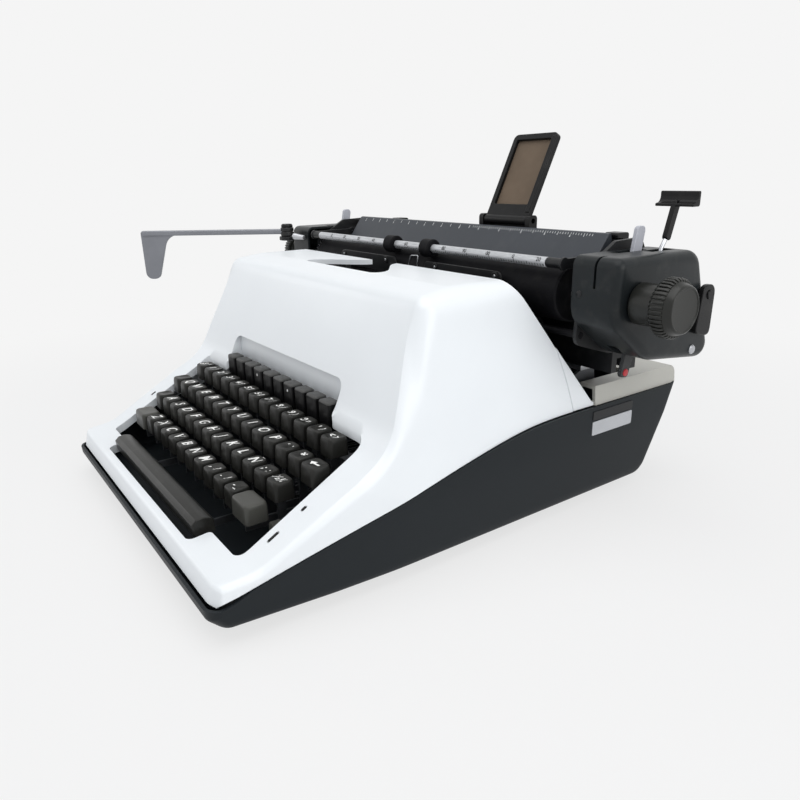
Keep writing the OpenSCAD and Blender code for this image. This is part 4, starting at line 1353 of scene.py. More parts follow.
    def add_flange(self, form: Form, ring: Sequence[int], loop: Optional[Sequence[Pair]], drop: float,
                   rear: float) -> Form:
        """Turn a border of the sheet down, or back to the recess wall.

        Args:
            form: The sheet.
            ring: Its border's points in order.
            loop: The border over X and length if it is closed, else None.
            drop: How far the flange goes down.
            rear: Length along the hood past which the flange goes back instead.

        Returns:
            The sheet with its flange.
        """
        points, faces = list(form.points), list(form.faces)
        low = []
        for k, i in enumerate(ring):
            x, y, z = points[i]
            back = loop is not None and loop[k][1] > rear and abs(loop[k][0]) <= self.recess_half + 0.1
            low.append(len(points))
            points.append((x, self.recess_y, z - 0.5) if back else (x, y, z - drop))
        count = len(ring) if loop is not None else len(ring) - 1
        for k in range(count):
            m = (k + 1) % len(ring)
            faces.append((ring[k], ring[m], low[m], low[k]))
        return Form(points, faces)

    def build_hood(self) -> None:
        """The white hood in one shell, its recess wall, pegs and hinge lugs."""
        line = Profile(polyline(self.hood_corners, 10), 1.0)
        shell = Shell(line, self.hood_half, self.hood_rounding, self.hood_edge, self.hood_bow, 0.72,
                      crease=self.hood_crease)
        ribs = shell.stations(self.rib_gap)
        side = shell.side(ribs)
        form = self.hood_sheet(shell, ribs) + side + side.mirrored()
        made = MAKER.mesh("hood_shell", form, WHITE, MOULDED)
        MAKER.turn_out(made, Axis.Z, 1.0, lambda centre: centre.z > self.waist * MM)
        self.sharpen(made, np.array(side.points[:len(ribs)]))
        MAKER.thicken(made, self.sheet)
        MAKER.ease(made, 0.9, 3, 45.0)
        MAKER.fix(made, "hood", WHITE, "hood")
        half, (low, high) = self.recess_half + 2, self.recess_wall
        back = outline([(-half, low, 2), (half, low, 2), (half, high, 6), (-half, high, 6)])
        wall = prism(Axis.Y, back, self.recess_y, self.recess_y + self.sheet)
        MAKER.piece("hood_recess_wall", wall, WHITE, "hood", ease=0.5)
        pegs = Form()
        for x, y, long in self.slots:
            z = float(line.at(np.array([line.along_y(y)]))[1][0])
            peg = block((x - 1.1, y - long / 2 + 0.4, z - 1.6), (x + 1.1, y + long / 2 - 0.4, z + 0.35))
            pegs = pegs + peg.turned(Axis.X, self.panel_tilt, (x, y, z))
        MAKER.piece("hood_pegs", pegs, BLACK, "hood", ease=0.25)
        (hy, hz), (x0, x1, top) = self.hinge, self.hood_lug
        lug = outline([(hy - 3.2, hz - 3.6, 3), (hy + 3.6, hz - 3.6, 3), (hy + 6, top, 0),
                       (hy - 2, top, 0)])
        lug = prism(Axis.X, lug, x0, x1)
        MAKER.piece("hood_hinge_lugs", lug + lug.mirrored(), WHITE, "hood", ease=0.4)

    def sharpen(self, made: bpy.types.Object, border: np.ndarray) -> None:
        """Keep the border between sheet and rounded edge crisp where the edge leaves at an angle.

        Args:
            made: The hood's shell.
            border: The border's points on the right side.
        """
        crisp = border[self.hood_crease(border[:, 1]) > math.radians(6.0)] * MM
        tree = KDTree(len(crisp))
        for i, spot in enumerate(crisp):
            tree.insert(spot, i)
        tree.balance()
        on = [tree.find((abs(v.co.x), v.co.y, v.co.z))[2] < 10 * MERGE for v in made.data.vertices]
        for edge in made.data.edges:
            edge.use_edge_sharp |= on[edge.vertices[0]] and on[edge.vertices[1]]

    def tub_half(self, y: np.ndarray, z: np.ndarray) -> np.ndarray:
        """Half width of the tub at a place on its side."""
        return self.plan(y, self.tub_taper) - self.tub_lean * np.maximum(0.0, self.waist - z)

    def tub_rounding(self, y: np.ndarray) -> np.ndarray:
        """Width of the tub's rounded edge: wide round the nose, moderate below and at the back."""
        return self.tub_round + self.tub_round / 2 * smooth_step(-y, 190.0, 203.0)

    def tub_edge(self, y: np.ndarray) -> tuple[np.ndarray, np.ndarray]:
        """Y and Z where the side rib that starts at y ends on the belt line, lower round the nose."""
        low = np.interp(y, *zip(*self.tub_fan))
        return low, self.belt(low) - self.tub_drop * (1 - smooth_step(low, -190.0, -174.0))

    def build_tub(self) -> None:
        """The dark tub, open above, with its hinge lugs and feet."""
        line = Profile(polyline(self.tub_corners, 10), -1.0)
        shell = Shell(line, self.tub_half, self.tub_rounding, self.tub_edge, lambda t: 0.0 * t, 0.9,
                      rows=12)
        ribs = shell.stations(self.rib_gap)
        side = shell.side(ribs)
        border = np.stack([shell.inner(ribs), *line.at(ribs)], 1)
        sheet = grid([border * (share, 1.0, 1.0) for share in np.linspace(-1, 1, 19)])
        made = MAKER.mesh("tub_shell", sheet + side + side.mirrored(), DARK, MOULDED)
        MAKER.turn_out(made, Axis.Z, -1.0, lambda centre: centre.z < self.tub_bottom * MM)
        MAKER.thicken(made, self.tub_wall)
        MAKER.ease(made, 0.5, 2, 45.0)
        MAKER.fix(made, "chassis", DARK, "base_tub")
        (hy, hz), (x0, x1) = self.hinge, self.tub_lug
        lug = [(hy - 2.3, hz - 1.8), (hy + 6, 16), (hy + 14, 15), (hy + 2.3, hz + 1.8)]
        lug = prism(Axis.X, lug, x0, x1) + rod(Axis.X, (hy, hz), x0, x1, 3.0, 0.3)
        MAKER.piece("tub_hinge_lugs", lug + lug.mirrored(), DARK, "chassis", ease=0.3)
        x, y = self.foot_at
        foot = lathe(Axis.Z, self.foot_at, self.foot_line)
        feet = foot + foot.moved(0, -2 * y, 0)
        MAKER.piece("feet", feet + feet.moved(-2 * x, 0, 0), FOOT, "chassis", "rubber_feet", ease=0.4)

    def build_deck(self) -> None:
        """The cream deck behind the hood, its white cheeks, the hinge pins and the plain plates."""
        for name, finish, front in (("rear_deck_top", CREAM, False), ("rear_deck_cheeks", WHITE, True)):
            data = MAKER.merged("rear_deck")
            work = bmesh.new()
            work.from_mesh(data)
            cut = bmesh.ops.bisect_plane(work, geom=work.verts[:] + work.edges[:] + work.faces[:],
                                         plane_co=(0, self.cheek_y * MM, 0), plane_no=(0, 1, 0),
                                         clear_outer=front, clear_inner=not front)
            border = [e for e in cut["geom_cut"] if isinstance(e, bmesh.types.BMEdge)]
            bmesh.ops.holes_fill(work, edges=border, sides=0)
            work.to_mesh(data)
            work.free()
            made = MAKER.wrap(name, data, finish)
            MAKER.ease(made, 0.8, 3)
            MAKER.fix(made, "chassis", finish, "rear_deck")
        (_, y0, low), (x1, y1, high) = box_mm("label_plates")
        split = low + self.plate_split
        for name, finish, z0, z1 in (("plain_plate_low", PLATE, low, split - 0.5),
                                     ("plain_plate_high", PLATE_BLACK, split + 0.5, high)):
            plate = prism(Axis.X, rectangle((y0, z0), (y1, z1), 1.2), x1 - 0.8, x1)
            MAKER.piece(name, plate, finish, "chassis", "label_plates", ease=0.15)
        MAKER.repaint(BRIGHT, "hood_hinge_pins")

    def build(self) -> None:
        """Make the whole casing."""
        self.build_hood()
        self.build_tub()
        self.build_deck()


@dataclass
class Keyboard:
    """Key rows with legends, the wide keys, the tabulator keys and the space bar."""

    key: float = 14.6
    height: float = 13.0
    pitch: float = 19.0
    dish_r: float = 28.0
    dish_y: float = 3.0
    letter: float = 12.0
    ink: float = 0.05
    cap_rings: tuple = ((-3.2, 0.25, 2.8), (-1.2, 0.5, 3.0), (-0.45, 0.8, 3.0), (-0.1, 1.3, 3.0),
                        (0.0, 1.8, 2.8))
    rows: tuple = (
        ("digit_keys", "digit_row",
         ("§°", "1!", "2\"", "3+", "4$", "5%", "6&", "7/", "8(", "9)", "0=", "'?", "<>")),
        ("upper_keys", "upper_row", ("", "Q", "W", "E", "R", "T", "Y", "U", "I", "O", "P", "´`", "*")),
        ("home_keys", "home_row", ("A", "S", "D", "F", "G", "H", "J", "K", "L", "Ñ", ";:", "½¼")),
        ("lower_keys", "lower_row", ("Z", "X", "C", "V", "B", "N", "M", ",?", ".!", "-_")),
    )
    shift_depth: float = 16.0
    wide: tuple = (("shift_key_left", 58.0, 0.0), ("shift_key_right", 58.0, -2.8),
                   ("shift_lock_key", 68.5, 0.0), ("backspace_key", 79.0, 0.0))
    arrow: tuple = ((-5.0, 0.0), (-1.4, 2.9), (-1.4, 0.9), (5.0, 0.9), (5.0, -0.9), (-1.4, -0.9),
                    (-1.4, -2.9))
    levers: tuple = ("space_bar_arms", "digit_levers", "upper_levers", "home_levers", "lower_levers")
    lever_shaft: Pair = (70.0, 32.0)
    lever_half: float = 0.75
    tab_size: Triple = (14.0, 10.0, 22.0)
    tab_step: float = 18.0
    tab_count: int = 10
    tab_pad: tuple = ((-1.7, 6.9, 4.9), (-0.7, 6.8, 4.8), (-0.2, 6.4, 4.4), (0.0, 5.8, 3.8))
    selector: Triple = (122.5, -143.0, 47.0)
    selector_half: float = 4.2
    side_plate: float = 140.0
    bar_ends: tuple = ((0.0, 0.94, 0.96), (0.3, 0.975, 0.985), (0.9, 0.993, 0.996), (1.6, 1.0, 1.0))

    def dish(self, x: float, y: float) -> float:
        """Depth of the dished top at a place on a key, zero or below."""
        inside_root = self.dish_r ** 2 - x ** 2 - (y - self.dish_y) ** 2
        return min(0.0, self.dish_r - 1.0 - math.sqrt(max(0.0, inside_root)))

    def cap(self, width: float, depth: float, dished: bool = True) -> Form:
        """A moulded key cap, its top centre at the origin.

        Args:
            width: Width at its foot.
            depth: Depth at its foot.
            dished: Whether the top is hollowed.

        Returns:
            The cap.
        """
        rings = []
        for z, inset, r in ((-self.height, 0.0, 2.6), *self.cap_rings):
            w, d = width / 2 - inset, depth / 2 - inset
            bend = 0.6 if dished and z > -0.4 else 0.0
            rings.append([(x, y, z + bend * self.dish(x, y))
                          for x, y in rectangle((-w, -d), (w, d), r, 5)])
        top = [(x, y) for x, y, _ in rings[-1]]
        for share in (0.8, 0.6, 0.4, 0.2, 0.06):
            rings.append([(x * share, y * share,
                           self.dish(x * share, y * share) if dished else -0.35 * (1 - share))
                          for x, y in top])
        return loft(rings)

    def legends(self, texts: Sequence[str], first: float, y: float, top: float) -> Form:
        """The legends of a row, laid on the dished tops.

        Args:
            texts: One text per key; two characters stand side by side.
            first: X of the first key.
            y: Y of the row.
            top: Height of the key tops.

        Returns:
            The glyphs.
        """
        out = Form()
        for i, text in enumerate(texts):
            marks = [(text, 0.0, self.letter)] if len(text) == 1 else \
                [(c, dx, self.letter * 0.7) for c, dx in zip(text, (-3.0, 3.0))]
            for mark, dx, size in marks:
                glyph = lettering(mark, size)
                points = [(p[0] * 0.9 + dx, p[1] + 0.2) for p in glyph.points]
                out = out + Form([(first + i * self.pitch + px, y + py, top + self.dish(px, py) + self.ink)
                                  for px, py in points], glyph.faces)
        return out

    def build_rows(self) -> None:
        """Four rows of keys, each with its legends."""
        cap = self.cap(self.key, self.key)
        for node, body, texts in self.rows:
            (x0, y0, z0), (_, y1, _) = box_mm(node)
            first, y, top = x0 + self.key / 2, (y0 + y1) / 2, z0 + self.height
            data = MAKER.copies(cap, KEY, len(texts), (first, y, top), (self.pitch, 0, 0), sharp=MOULDED)
            MAKER.lay(node + "_caps", data, KEY, body, node, sharp=MOULDED)
            marks = self.legends(texts, first, y, top)
            MAKER.piece(node + "_legends", marks, LEGEND, body, recalc=False)

    def build_wide(self) -> None:
        """Shift keys, shift lock and backspace, each with its lever."""
        for node, top, lever_dx in self.wide:
            (x0, y0, _), (x1, _, _) = box_mm(node)
            body = frame["nodes"][node]["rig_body"]
            shift = node.startswith("shift_key")
            finish, depth = (KEY_PLAIN, self.shift_depth) if shift else (KEY, self.key)
            x, y = (x0 + x1) / 2, y0 + depth / 2
            cap = self.cap(x1 - x0, depth, dished=not shift).moved(x, y, top)
            MAKER.piece(node + "_cap", cap, finish, body, node, sharp=MOULDED)
            MAKER.piece(node + "_lever", self.lever(x + lever_dx, y, top), STEEL, body, ease=0.2)
            if node == "backspace_key":
                sign = Form([(x + a, y + b, top + self.dish(a, b) + self.ink) for a, b in self.arrow],
                            [(0, 6, 5, 2, 1), (2, 5, 4, 3)])
                MAKER.piece(node + "_mark", sign, LEGEND, body, recalc=False)

    def lever(self, x: float, y: float, top: float) -> Form:
        """A key lever: hub, arm and stem up to the key's underside.

        Args:
            x: Its middle.
            y: The key's middle.
            top: Height of the key's top.

        Returns:
            The lever.
        """
        (ry, rz), foot = self.lever_shaft, top - self.height
        arm = [(ry, rz - 5), (ry, rz + 5), (y + 3, 41), (y + 3, foot), (y - 3, foot), (y - 3, 34)]
        x0, x1 = x - self.lever_half, x + self.lever_half
        return prism(Axis.X, arm, x0, x1) + rod(Axis.X, self.lever_shaft, x0, x1, 6.0, 0.1)

    def build_tabs(self) -> None:
        """The tall tabulator keys, their paler tops and two white dots."""
        (_, y0, _), (_, y1, top) = box_mm("tab_keys")
        y, (width, depth, tall), step = (y0 + y1) / 2, self.tab_size, self.tab_step
        first = -step * (self.tab_count - 1) / 2
        shape = rectangle((-width / 2, -depth / 2), (width / 2, depth / 2), 1.4)
        stem = block((-1.5, -2.5, -tall - 29), (1.5, 2.5, -tall + 0.5))
        data = MAKER.copies(prism(Axis.Z, shape, -tall, -1.6) + stem, BLACK, self.tab_count,
                            (first, y, top), (step, 0, 0))
        MAKER.lay("tab_key_blocks", data, BLACK, "tab_row", "tab_keys")
        pad = loft([[(u, v, z) for u, v in rectangle((-w, -d), (w, d), 1.5)] for z, w, d in self.tab_pad])
        data = MAKER.copies(pad, TAB_TOP, self.tab_count, (first, y, top), (step, 0, 0), sharp=MOULDED)
        MAKER.lay("tab_key_tops", data, TAB_TOP, "tab_row", sharp=MOULDED)
        dot = lathe(Axis.Y, (0, 0), [(-0.05, 0.3), (-0.05, 1.0), (0.3, 1.0)], 16)
        data = MAKER.copies(dot, LEGEND, 2, (first + 3 * step, y - depth / 2, top - 5.5), (3 * step, 0, 0))
        MAKER.lay("tab_key_dots", data, LEGEND, "tab_row")

    def build_selector(self) -> None:
        """The small square button beside the right shift key, on its arm from the side plate."""
        (x, y, z), half = self.selector, self.selector_half
        shape = rectangle((-half, -half), (half, half), 1.2)
        rings = [[(x + u * k, y + v * k, z + h) for u, v in shape]
                 for h, k in ((-13, 1.0), (-1.0, 0.97), (0.0, 0.85))]
        MAKER.piece("selector_button", loft(rings), KEY_PLAIN, "chassis", sharp=MOULDED)
        arm = block((x, y - 2, z - 13.5), (self.side_plate, y + 2, z - 10.5))
        MAKER.piece("selector_arm", arm, STEEL, "chassis", ease=0.3)

    def build_space(self) -> None:
        """The space bar, bevelled along its front, on its arms."""
        (x0, y0, z0), (x1, y1, z1) = box_mm("space_bar")
        middle = (y0 + y1) / 2
        shape = outline([(y0 + 0.8, z0, 0.8), (y1, z0, 1.0), (y1 - 0.4, z1 - 1.6, 4.0), (middle, z1, 8.0),
                         (y0 + 3.0, z1 - 0.7, 0.8), (y0, z1 - 3.6, 0.8)], 6)
        ends = [(x0 + d, k, m) for d, k, m in self.bar_ends]
        ends += [(x1 - d, k, m) for d, k, m in reversed(self.bar_ends)]
        rings = [[(x, middle + (u - middle) * k, z0 + (v - z0) * m) for u, v in shape] for x, k, m in ends]
        MAKER.piece("space_bar_cap", loft(rings), KEY, "space_bar", "space_bar", sharp=MOULDED)
        MAKER.repaint(STEEL, *self.levers)

    def build(self) -> None:
        """Make the whole keyboard."""
        self.build_rows()
        self.build_wide()
        self.build_tabs()
        self.build_selector()
        self.build_space()


@dataclass
class TypeWorks:
    """The frame, the type basket, the ribbon and the other works inside."""

    steel: tuple = ("side_frames", "frame_ties", "key_comb", "tab_key_guide", "type_segment", "draw_drum")
    bright: tuple = ("carriage_rail", "type_bars")
    screw_at: Triple = (35.3, 51.8, 178.4)
    screw_step: float = 70.4
    wire: tuple = ((0.6, 50.4, 168.0), (1.2, 50.4, 178.7), (4.4, 50.2, 184.6), (5.6, 50.2, 185.4),
                   (13.8, 50.2, 186.0), (14.8, 50.2, 185.4), (13.4, 50.4, 180.0), (13.0, 50.4, 168.0))
    wire_r: float = 0.55

    def build(self) -> None:
        """Dress what shows through the openings and repaint the rest."""
        MAKER.repaint(STEEL, *self.steel)
        MAKER.repaint(BRIGHT, *self.bright)
        MAKER.repaint(FELT, "type_rest")
        MAKER.repaint(RIBBON, "ribbon_strip")
        MAKER.repaint(BELL, "margin_bell")
        MAKER.dress("card_holder", ENAMEL_BLACK, 0.4)
        MAKER.dress("ribbon_cups", ENAMEL_BLACK, 0.4)
        for side in ("left", "right"):
            MAKER.dress(f"ribbon_spool_{side}", BLACK, 0.3)
        washer = lathe(Axis.Y, (0, 0), [(-0.7, 0.5), (-0.7, 2.8), (-0.4, 3.2), (0.1, 3.2)], 28)
        screw = lathe(Axis.Y, (0, 0), [(-1.1, 0.3), (-1.1, 0.9), (-0.8, 1.2), (0.1, 1.2)], 20)
        x, y, z = self.screw_at
        for side, name in ((-1, "left"), (1, "right")):
            for kind, form, finish in (("washers", washer, ENAMEL_BLACK), ("screws", screw, BRIGHT)):
                data = MAKER.copies(form, finish, 2, (side * x, y, z), (side * self.screw_step, 0, 0))
                MAKER.lay(f"card_{kind}_{name}", data, finish, "chassis")
        MAKER.piece("wire_guide", tube(self.wire, self.wire_r), BRIGHT, "chassis", sharp=MOULDED)


@dataclass
class Carriage:
    """The sliding carriage with its platen, bail, covers, levers and paper support."""

    middle: float = -5.0
    platen: Pair = (77.0, 170.0)
    platen_r: float = 20.5
    platen_len: float = 330.0
    cover_in: float = 180.5
    cover_w: float = 36.5
    cover_wall: float = 2.5
    cover_edge: float = 6.0
    cover_line: tuple = ((55, 199, 7), (142, 199, 14), (170, 119, 10), (95, 128, 30), (55, 158, 20))
    knob_d: float = 38.0
    knob_len: float = 32.0
    hub_len: float = 17.5
    ribs: int = 40
    bail: Pair = (58.0, 192.0)
    bail_r: float = 3.5
    scale_len: float = 312.0
    scale_start: float = 3.0
    scale_ticks: tuple = ((INCH / 10, 28.0), (INCH / 2, 40.0), (INCH, 52.0))
    tick_half: float = 0.22
    number: float = 4.4
    rollers: tuple = (-32.0, 20.0)
    roller_r: float = 7.5
    table_top: Pair = (111.4, 207.2)
    table_rise: Pair = (17.5, 24.0)
    table_ticks: tuple = ((INCH / 10, 1.8, 20.0, 52), (INCH / 2, 2.8, -150.0, 24), (INCH, 3.8, -150.0, 12))
    support: Triple = (47.0, 120.0, 213.0)
    support_half: float = 24.5
    support_tall: float = 75.0
    support_rim: float = 6.0
    lean: float = 26.0
    return_at: Triple = (-211.0, 44.0, 191.0)
    return_turn: float = -127.0
    spring_at: tuple = (48.6, 189.0, -203.0, -182.0)
    injector_at: Pair = (122.0, 172.0)

    def build_platen(self) -> None:
        """The rubber platen, its axle and the two ribbed knobs."""
        r, half = self.platen_r, self.platen_len / 2
        low, high = self.middle - half, self.middle + half
        roll = lathe(Axis.X, self.platen, [(low, 6.0), (low, r - 1.2), (low + 1.2, r), (high - 1.2, r),
                                           (high, r - 1.2), (high, 6.0)], 96)
        MAKER.piece("platen_roll", roll, RUBBER, "platen", "platen", sharp=MOULDED)
        MAKER.repaint(BRIGHT, "platen_axle")
        MAKER.dress("feed_rollers", RUBBER, 0.4)
        self.build_knob("right", 1)
        self.build_knob("left", -1)

    def build_knob(self, name: str, side: int) -> None:
        """A knob with its hub and its ribbed rim.

        Args:
            name: Which knob.
            side: 1 on the right, -1 on the left.
        """
        r, h, end = self.knob_d / 2, self.hub_len, self.knob_len
        out = self.cover_in + self.cover_w + 1
        profile = [(0, 4.0), (0, 12.6), (0.9, 13.5), (h - 0.6, 13.5), (h, 14.2), (h + 0.3, r - 2.6),
                   (h + 1.8, r - 1.1), (end - 6.4, r - 1.1), (end - 5.0, r - 1.7), (end - 4.0, r - 2.8),
                   (end - 1.2, r - 3.7), (end - 0.4, r - 4.1), (end, r - 4.7), (end, r - 5.3),
                   (end - 0.5, r - 5.8), (end - 0.6, r - 7), (end - 0.6, 0.4)]
        body = lathe(Axis.X, self.platen, profile, 72).moved(out + side * self.middle, 0, 0)
        MAKER.piece(f"knob_{name}_body", body if side > 0 else body.mirrored(), KNOB, "platen",
                    f"knob_{name}", sharp=30.0)
        shape = outline([(r - 1.6, -1.0, 0.3), (r, -0.8, 0.5), (r, 0.8, 0.5), (r - 1.6, 1.0, 0.3)], 3)
        low, high = h + 0.4, end - 4.6
        rib = loft([[(d, u * k, v * k) for u, v in shape]
                    for d, k in ((low, 0.93), (low + 2.0, 1.0), (high - 2.0, 1.0), (high, 0.94))])
        x = self.middle + (out if side > 0 else -out - low - high)
        data = MAKER.copies(rib, KNOB, self.ribs, (x, *self.platen), STILL, (360 / self.ribs, 0, 0))
        MAKER.lay(f"knob_{name}_ribs", data, KNOB, "platen")

    def cover(self, slots: Sequence[tuple]) -> bpy.types.Object:
        """The right end cover: a shell with a rounded outer edge and slots in its top.

        Args:
            slots: Low and high corners of each cut.

        Returns:
            The cover, still without a body.
        """
        shape = np.array(outline(self.cover_line, 8))
        turns = np.roll(shape, -1, 0) - np.roll(shape, 1, 0)
        out = np.stack([turns[:, 1], -turns[:, 0]], 1) / np.linalg.norm(turns, axis=1)[:, None]
        if ((shape - shape.mean(0)) * out).sum() < 0:
            out = -out
        edge, low, high = self.cover_edge, self.cover_in, self.cover_in + self.cover_w
        rings = [[(low, *p) for p in shape]]
        for a in (math.radians(15 * k) for k in range(7)):
            ring = shape - out * edge * (1 - math.cos(a))
            rings.append([(high - edge + edge * math.sin(a), *p) for p in ring])
        form = loft(rings, caps=False)
        form.faces.append(tuple(range(len(form.points) - len(shape), len(form.points))))
        made = MAKER.mesh("cover", form.moved(self.middle, 0, 0), SLATE, MOULDED)
        MAKER.turn_out(made, Axis.X, 1.0)
        MAKER.thicken(made, self.cover_wall)
        tool = rod(Axis.X, self.platen, low + self.middle - 5, high + self.middle + 5, 7.0, 0.0)
        for corners in slots:
            tool = tool + block(*corners)
        MAKER.cut(made, tool)
        return made

    def build_covers(self) -> None:
        """The two slate covers over the carriage ends."""
        a = self.cover_in + self.middle
        top_slot = ((a + 5, 84, 190), (a + 13, 115, 210))
        right = self.cover([top_slot, ((a + 14.5, 106, 190), (a + 23.5, 132, 210)),
                            ((a + 9.5, 84, 100), (a + 17.5, 118, 138)),
                            ((a + 17.2, 50, 179), (a + 19.0, 66, 202))])
        right.name = "cover_right_shell"
        MAKER.ease(right, 0.5)
        MAKER.fix(right, "carriage", SLATE, "cover_right")
        stud = rod(Axis.X, (150, 168), a + self.cover_w - 1, a + self.cover_w + 6, 3.0)
        MAKER.piece("cover_right_stud", stud, BLACK, "carriage")
        screw = [(a + 30, 3.4), (a + 37.0, 3.4), (a + 37.7, 2.8), (a + 37.9, 0.4)]
        MAKER.piece("cover_right_screw", lathe(Axis.X, (144.0, 129.0), screw, 28), BRIGHT, "carriage",
                    sharp=MOULDED)
        dot = [(56.0, 2.3), (54.8, 2.3), (54.3, 1.7), (54.2, 0.4)]
        MAKER.piece("cover_front_screw", lathe(Axis.Y, (a + 6.3, 174.4), dot, 24), ENAMEL_BLACK, "carriage",
                    sharp=MOULDED)
        left = self.cover([top_slot])
        left.name = "cover_left_shell"
        for v in left.data.vertices:
            v.co.x = 2 * self.middle * MM - v.co.x
        left.data.flip_normals()
        MAKER.ease(left, 0.5)
        MAKER.fix(left, "carriage", SLATE, "cover_left")

    def scale_tick(self, long: float) -> Form:
        """One tick of the scale bar, bent round it.

        Args:
            long: How many degrees it goes round.

        Returns:
            The tick, about the bar's axis.
        """
        sweep = [math.radians(226 - long * k / 6) for k in range(7)]
        points = [(dx, r * math.cos(t), r * math.sin(t)) for dx in (-self.tick_half, self.tick_half)
                  for r in (self.bail_r + 0.06, self.bail_r - 0.3) for t in sweep]
        m = len(sweep)
        faces = [(0, 2 * m, 3 * m, m), (m - 1, 2 * m - 1, 4 * m - 1, 3 * m - 1)]
        for i in range(m - 1):
            faces += [(i, i + 1, 2 * m + i + 1, 2 * m + i), (m + i + 1, m + i, 3 * m + i, 3 * m + i + 1),
                      (i + 1, i, m + i, m + i + 1), (2 * m + i, 2 * m + i + 1, 3 * m + i + 1, 3 * m + i)]
        return Form(points, faces)

    def scale_number(self, text: str, x: float) -> Form:
        """A number of the scale bar, bent round it.

        Args:
            text: The number.
            x: Its middle.

        Returns:
            The glyphs' faces.
        """
        (y, z), r = self.bail, self.bail_r
        glyph = lettering(text, self.number)
        points = []
        for px, py, _ in glyph.points:
            t = math.radians(152) - py / r
            points.append((x + px, y + (r + 0.07) * math.cos(t), z + (r + 0.07) * math.sin(t)))
        return Form(points, glyph.faces)

    def build_bail(self) -> None:
        """The silvery scale bar with its ticks and numbers, its arms and rollers."""
        r, half = self.bail_r, self.scale_len / 2
        low, high = self.middle - half, self.middle + half
        MAKER.piece("bail_scale", rod(Axis.X, self.bail, low, high, r, 0.4), SCALE, "bail", "bail_bar")
        MAKER.dress("bail_arms", ENAMEL_BLACK, 0.4)
        start = low + self.scale_start
        ticks = [MAKER.copies(self.scale_tick(long), INK, int(self.scale_len // step),
                              (start, *self.bail), (step, 0, 0)) for step, long in self.scale_ticks]
        numbers = Form()
        for k in range(1, 13):
            x = start + INCH * (k - 0.12)
            if x <= high - 6:
                numbers = numbers + self.scale_number(str(k * 10), x)
        MAKER.piece("bail_numbers", numbers, INK, "bail", recalc=False)
        MAKER.lay("bail_ticks", joined(ticks, "bail_ticks"), INK, "bail")
        wheels = Form()
        for x in self.rollers:
            profile = [(x - 6, r + 0.05), (x - 6, 6.6), (x - 5.2, self.roller_r), (x + 5.2, self.roller_r),
                       (x + 6, 6.6), (x + 6, r + 0.05)]
            wheels = wheels + lathe(Axis.X, self.bail, profile, 48)
        MAKER.piece("bail_roller_wheels", wheels, RUBBER, "bail_rollers", "bail_rollers", sharp=MOULDED)

    def build_table(self) -> None:
        """The sloping paper table with its pale graduations."""
        MAKER.dress("paper_table", TABLE, 0.5)
        MAKER.dress("paper_pan", ENAMEL_BLACK, 0.3)
        down = -np.array(self.table_rise) / math.hypot(*self.table_rise)
        over = np.array([down[1], -down[0]])
        meshes = []
        for step, long, first, count in self.table_ticks:
            wide = 0.06 + 0.1 * long
            points = [(dx, *(down * d + over * h)) for h in (0.06, -0.24) for dx in (-wide, wide)
                      for d in (0.0, long)]
            faces = [(0, 1, 3, 2), (4, 6, 7, 5), (0, 2, 6, 4), (1, 5, 7, 3), (0, 4, 5, 1), (2, 3, 7, 6)]
            meshes.append(MAKER.copies(Form(points, faces), TABLE_INK, count,
                                       (self.middle + first, *self.table_top), (step, 0, 0)))
        MAKER.lay("table_ticks", joined(meshes, "table_ticks"), TABLE_INK, "carriage")

    def build_levers(self) -> None:
        """Return lever, release levers, injector, tension lever and margin stops."""
        self.build_return()
        MAKER.dress("lever_bracket", PLATE_BLACK, 0.5)
        cap = [(198.2, 3.2), (198.2, 5.6), (199.0, 6.2), (200.6, 6.2), (201.6, 5.4), (202.0, 0.4)]
        MAKER.piece("lever_hub_cap", lathe(Axis.Z, self.return_at[:2], cap, 32), BLACK, "carriage",
                    sharp=MOULDED)
        y, z, low, high = self.spring_at
        coil = [(low + 1.1 * k, 3.4 - 0.06 * k - (0.5 if k % 2 else 0.0)) for k in range(20)]
        spring = lathe(Axis.X, (y, z), [(low, 0.6), *coil, (high, 0.6)], 24)
        MAKER.piece("lever_spring", spring, BRIGHT, "carriage", sharp=20.0)
        self.build_injector()
        MAKER.dress("paper_release", TAB_GREY, 0.5)
        MAKER.dress("carriage_release", BLACK, 0.7, 3)
        MAKER.dress("tension_lever", TAB_DARK, 0.4)
        (x0, y0, z0), (x1, _, _) = box_mm("tension_lever")
        tip = [(x0 - 0.6, 1.0), (x0 - 0.4, 2.4), (x0 + 0.4, 3.1), (x1 - 0.4, 3.1), (x1 + 0.6, 2.4),
               (x1 + 0.9, 1.0)]
        MAKER.piece("tension_button", lathe(Axis.X, (y0 + 5.2, z0 + 3.6), tip, 28), RED, "tension_lever",
                    sharp=MOULDED)
        for side in ("left", "right"):
            MAKER.dress(f"margin_stop_{side}", BLACK, 0.6, 3)
        MAKER.dress("carriage_bed", ENAMEL_BLACK, 0.5)

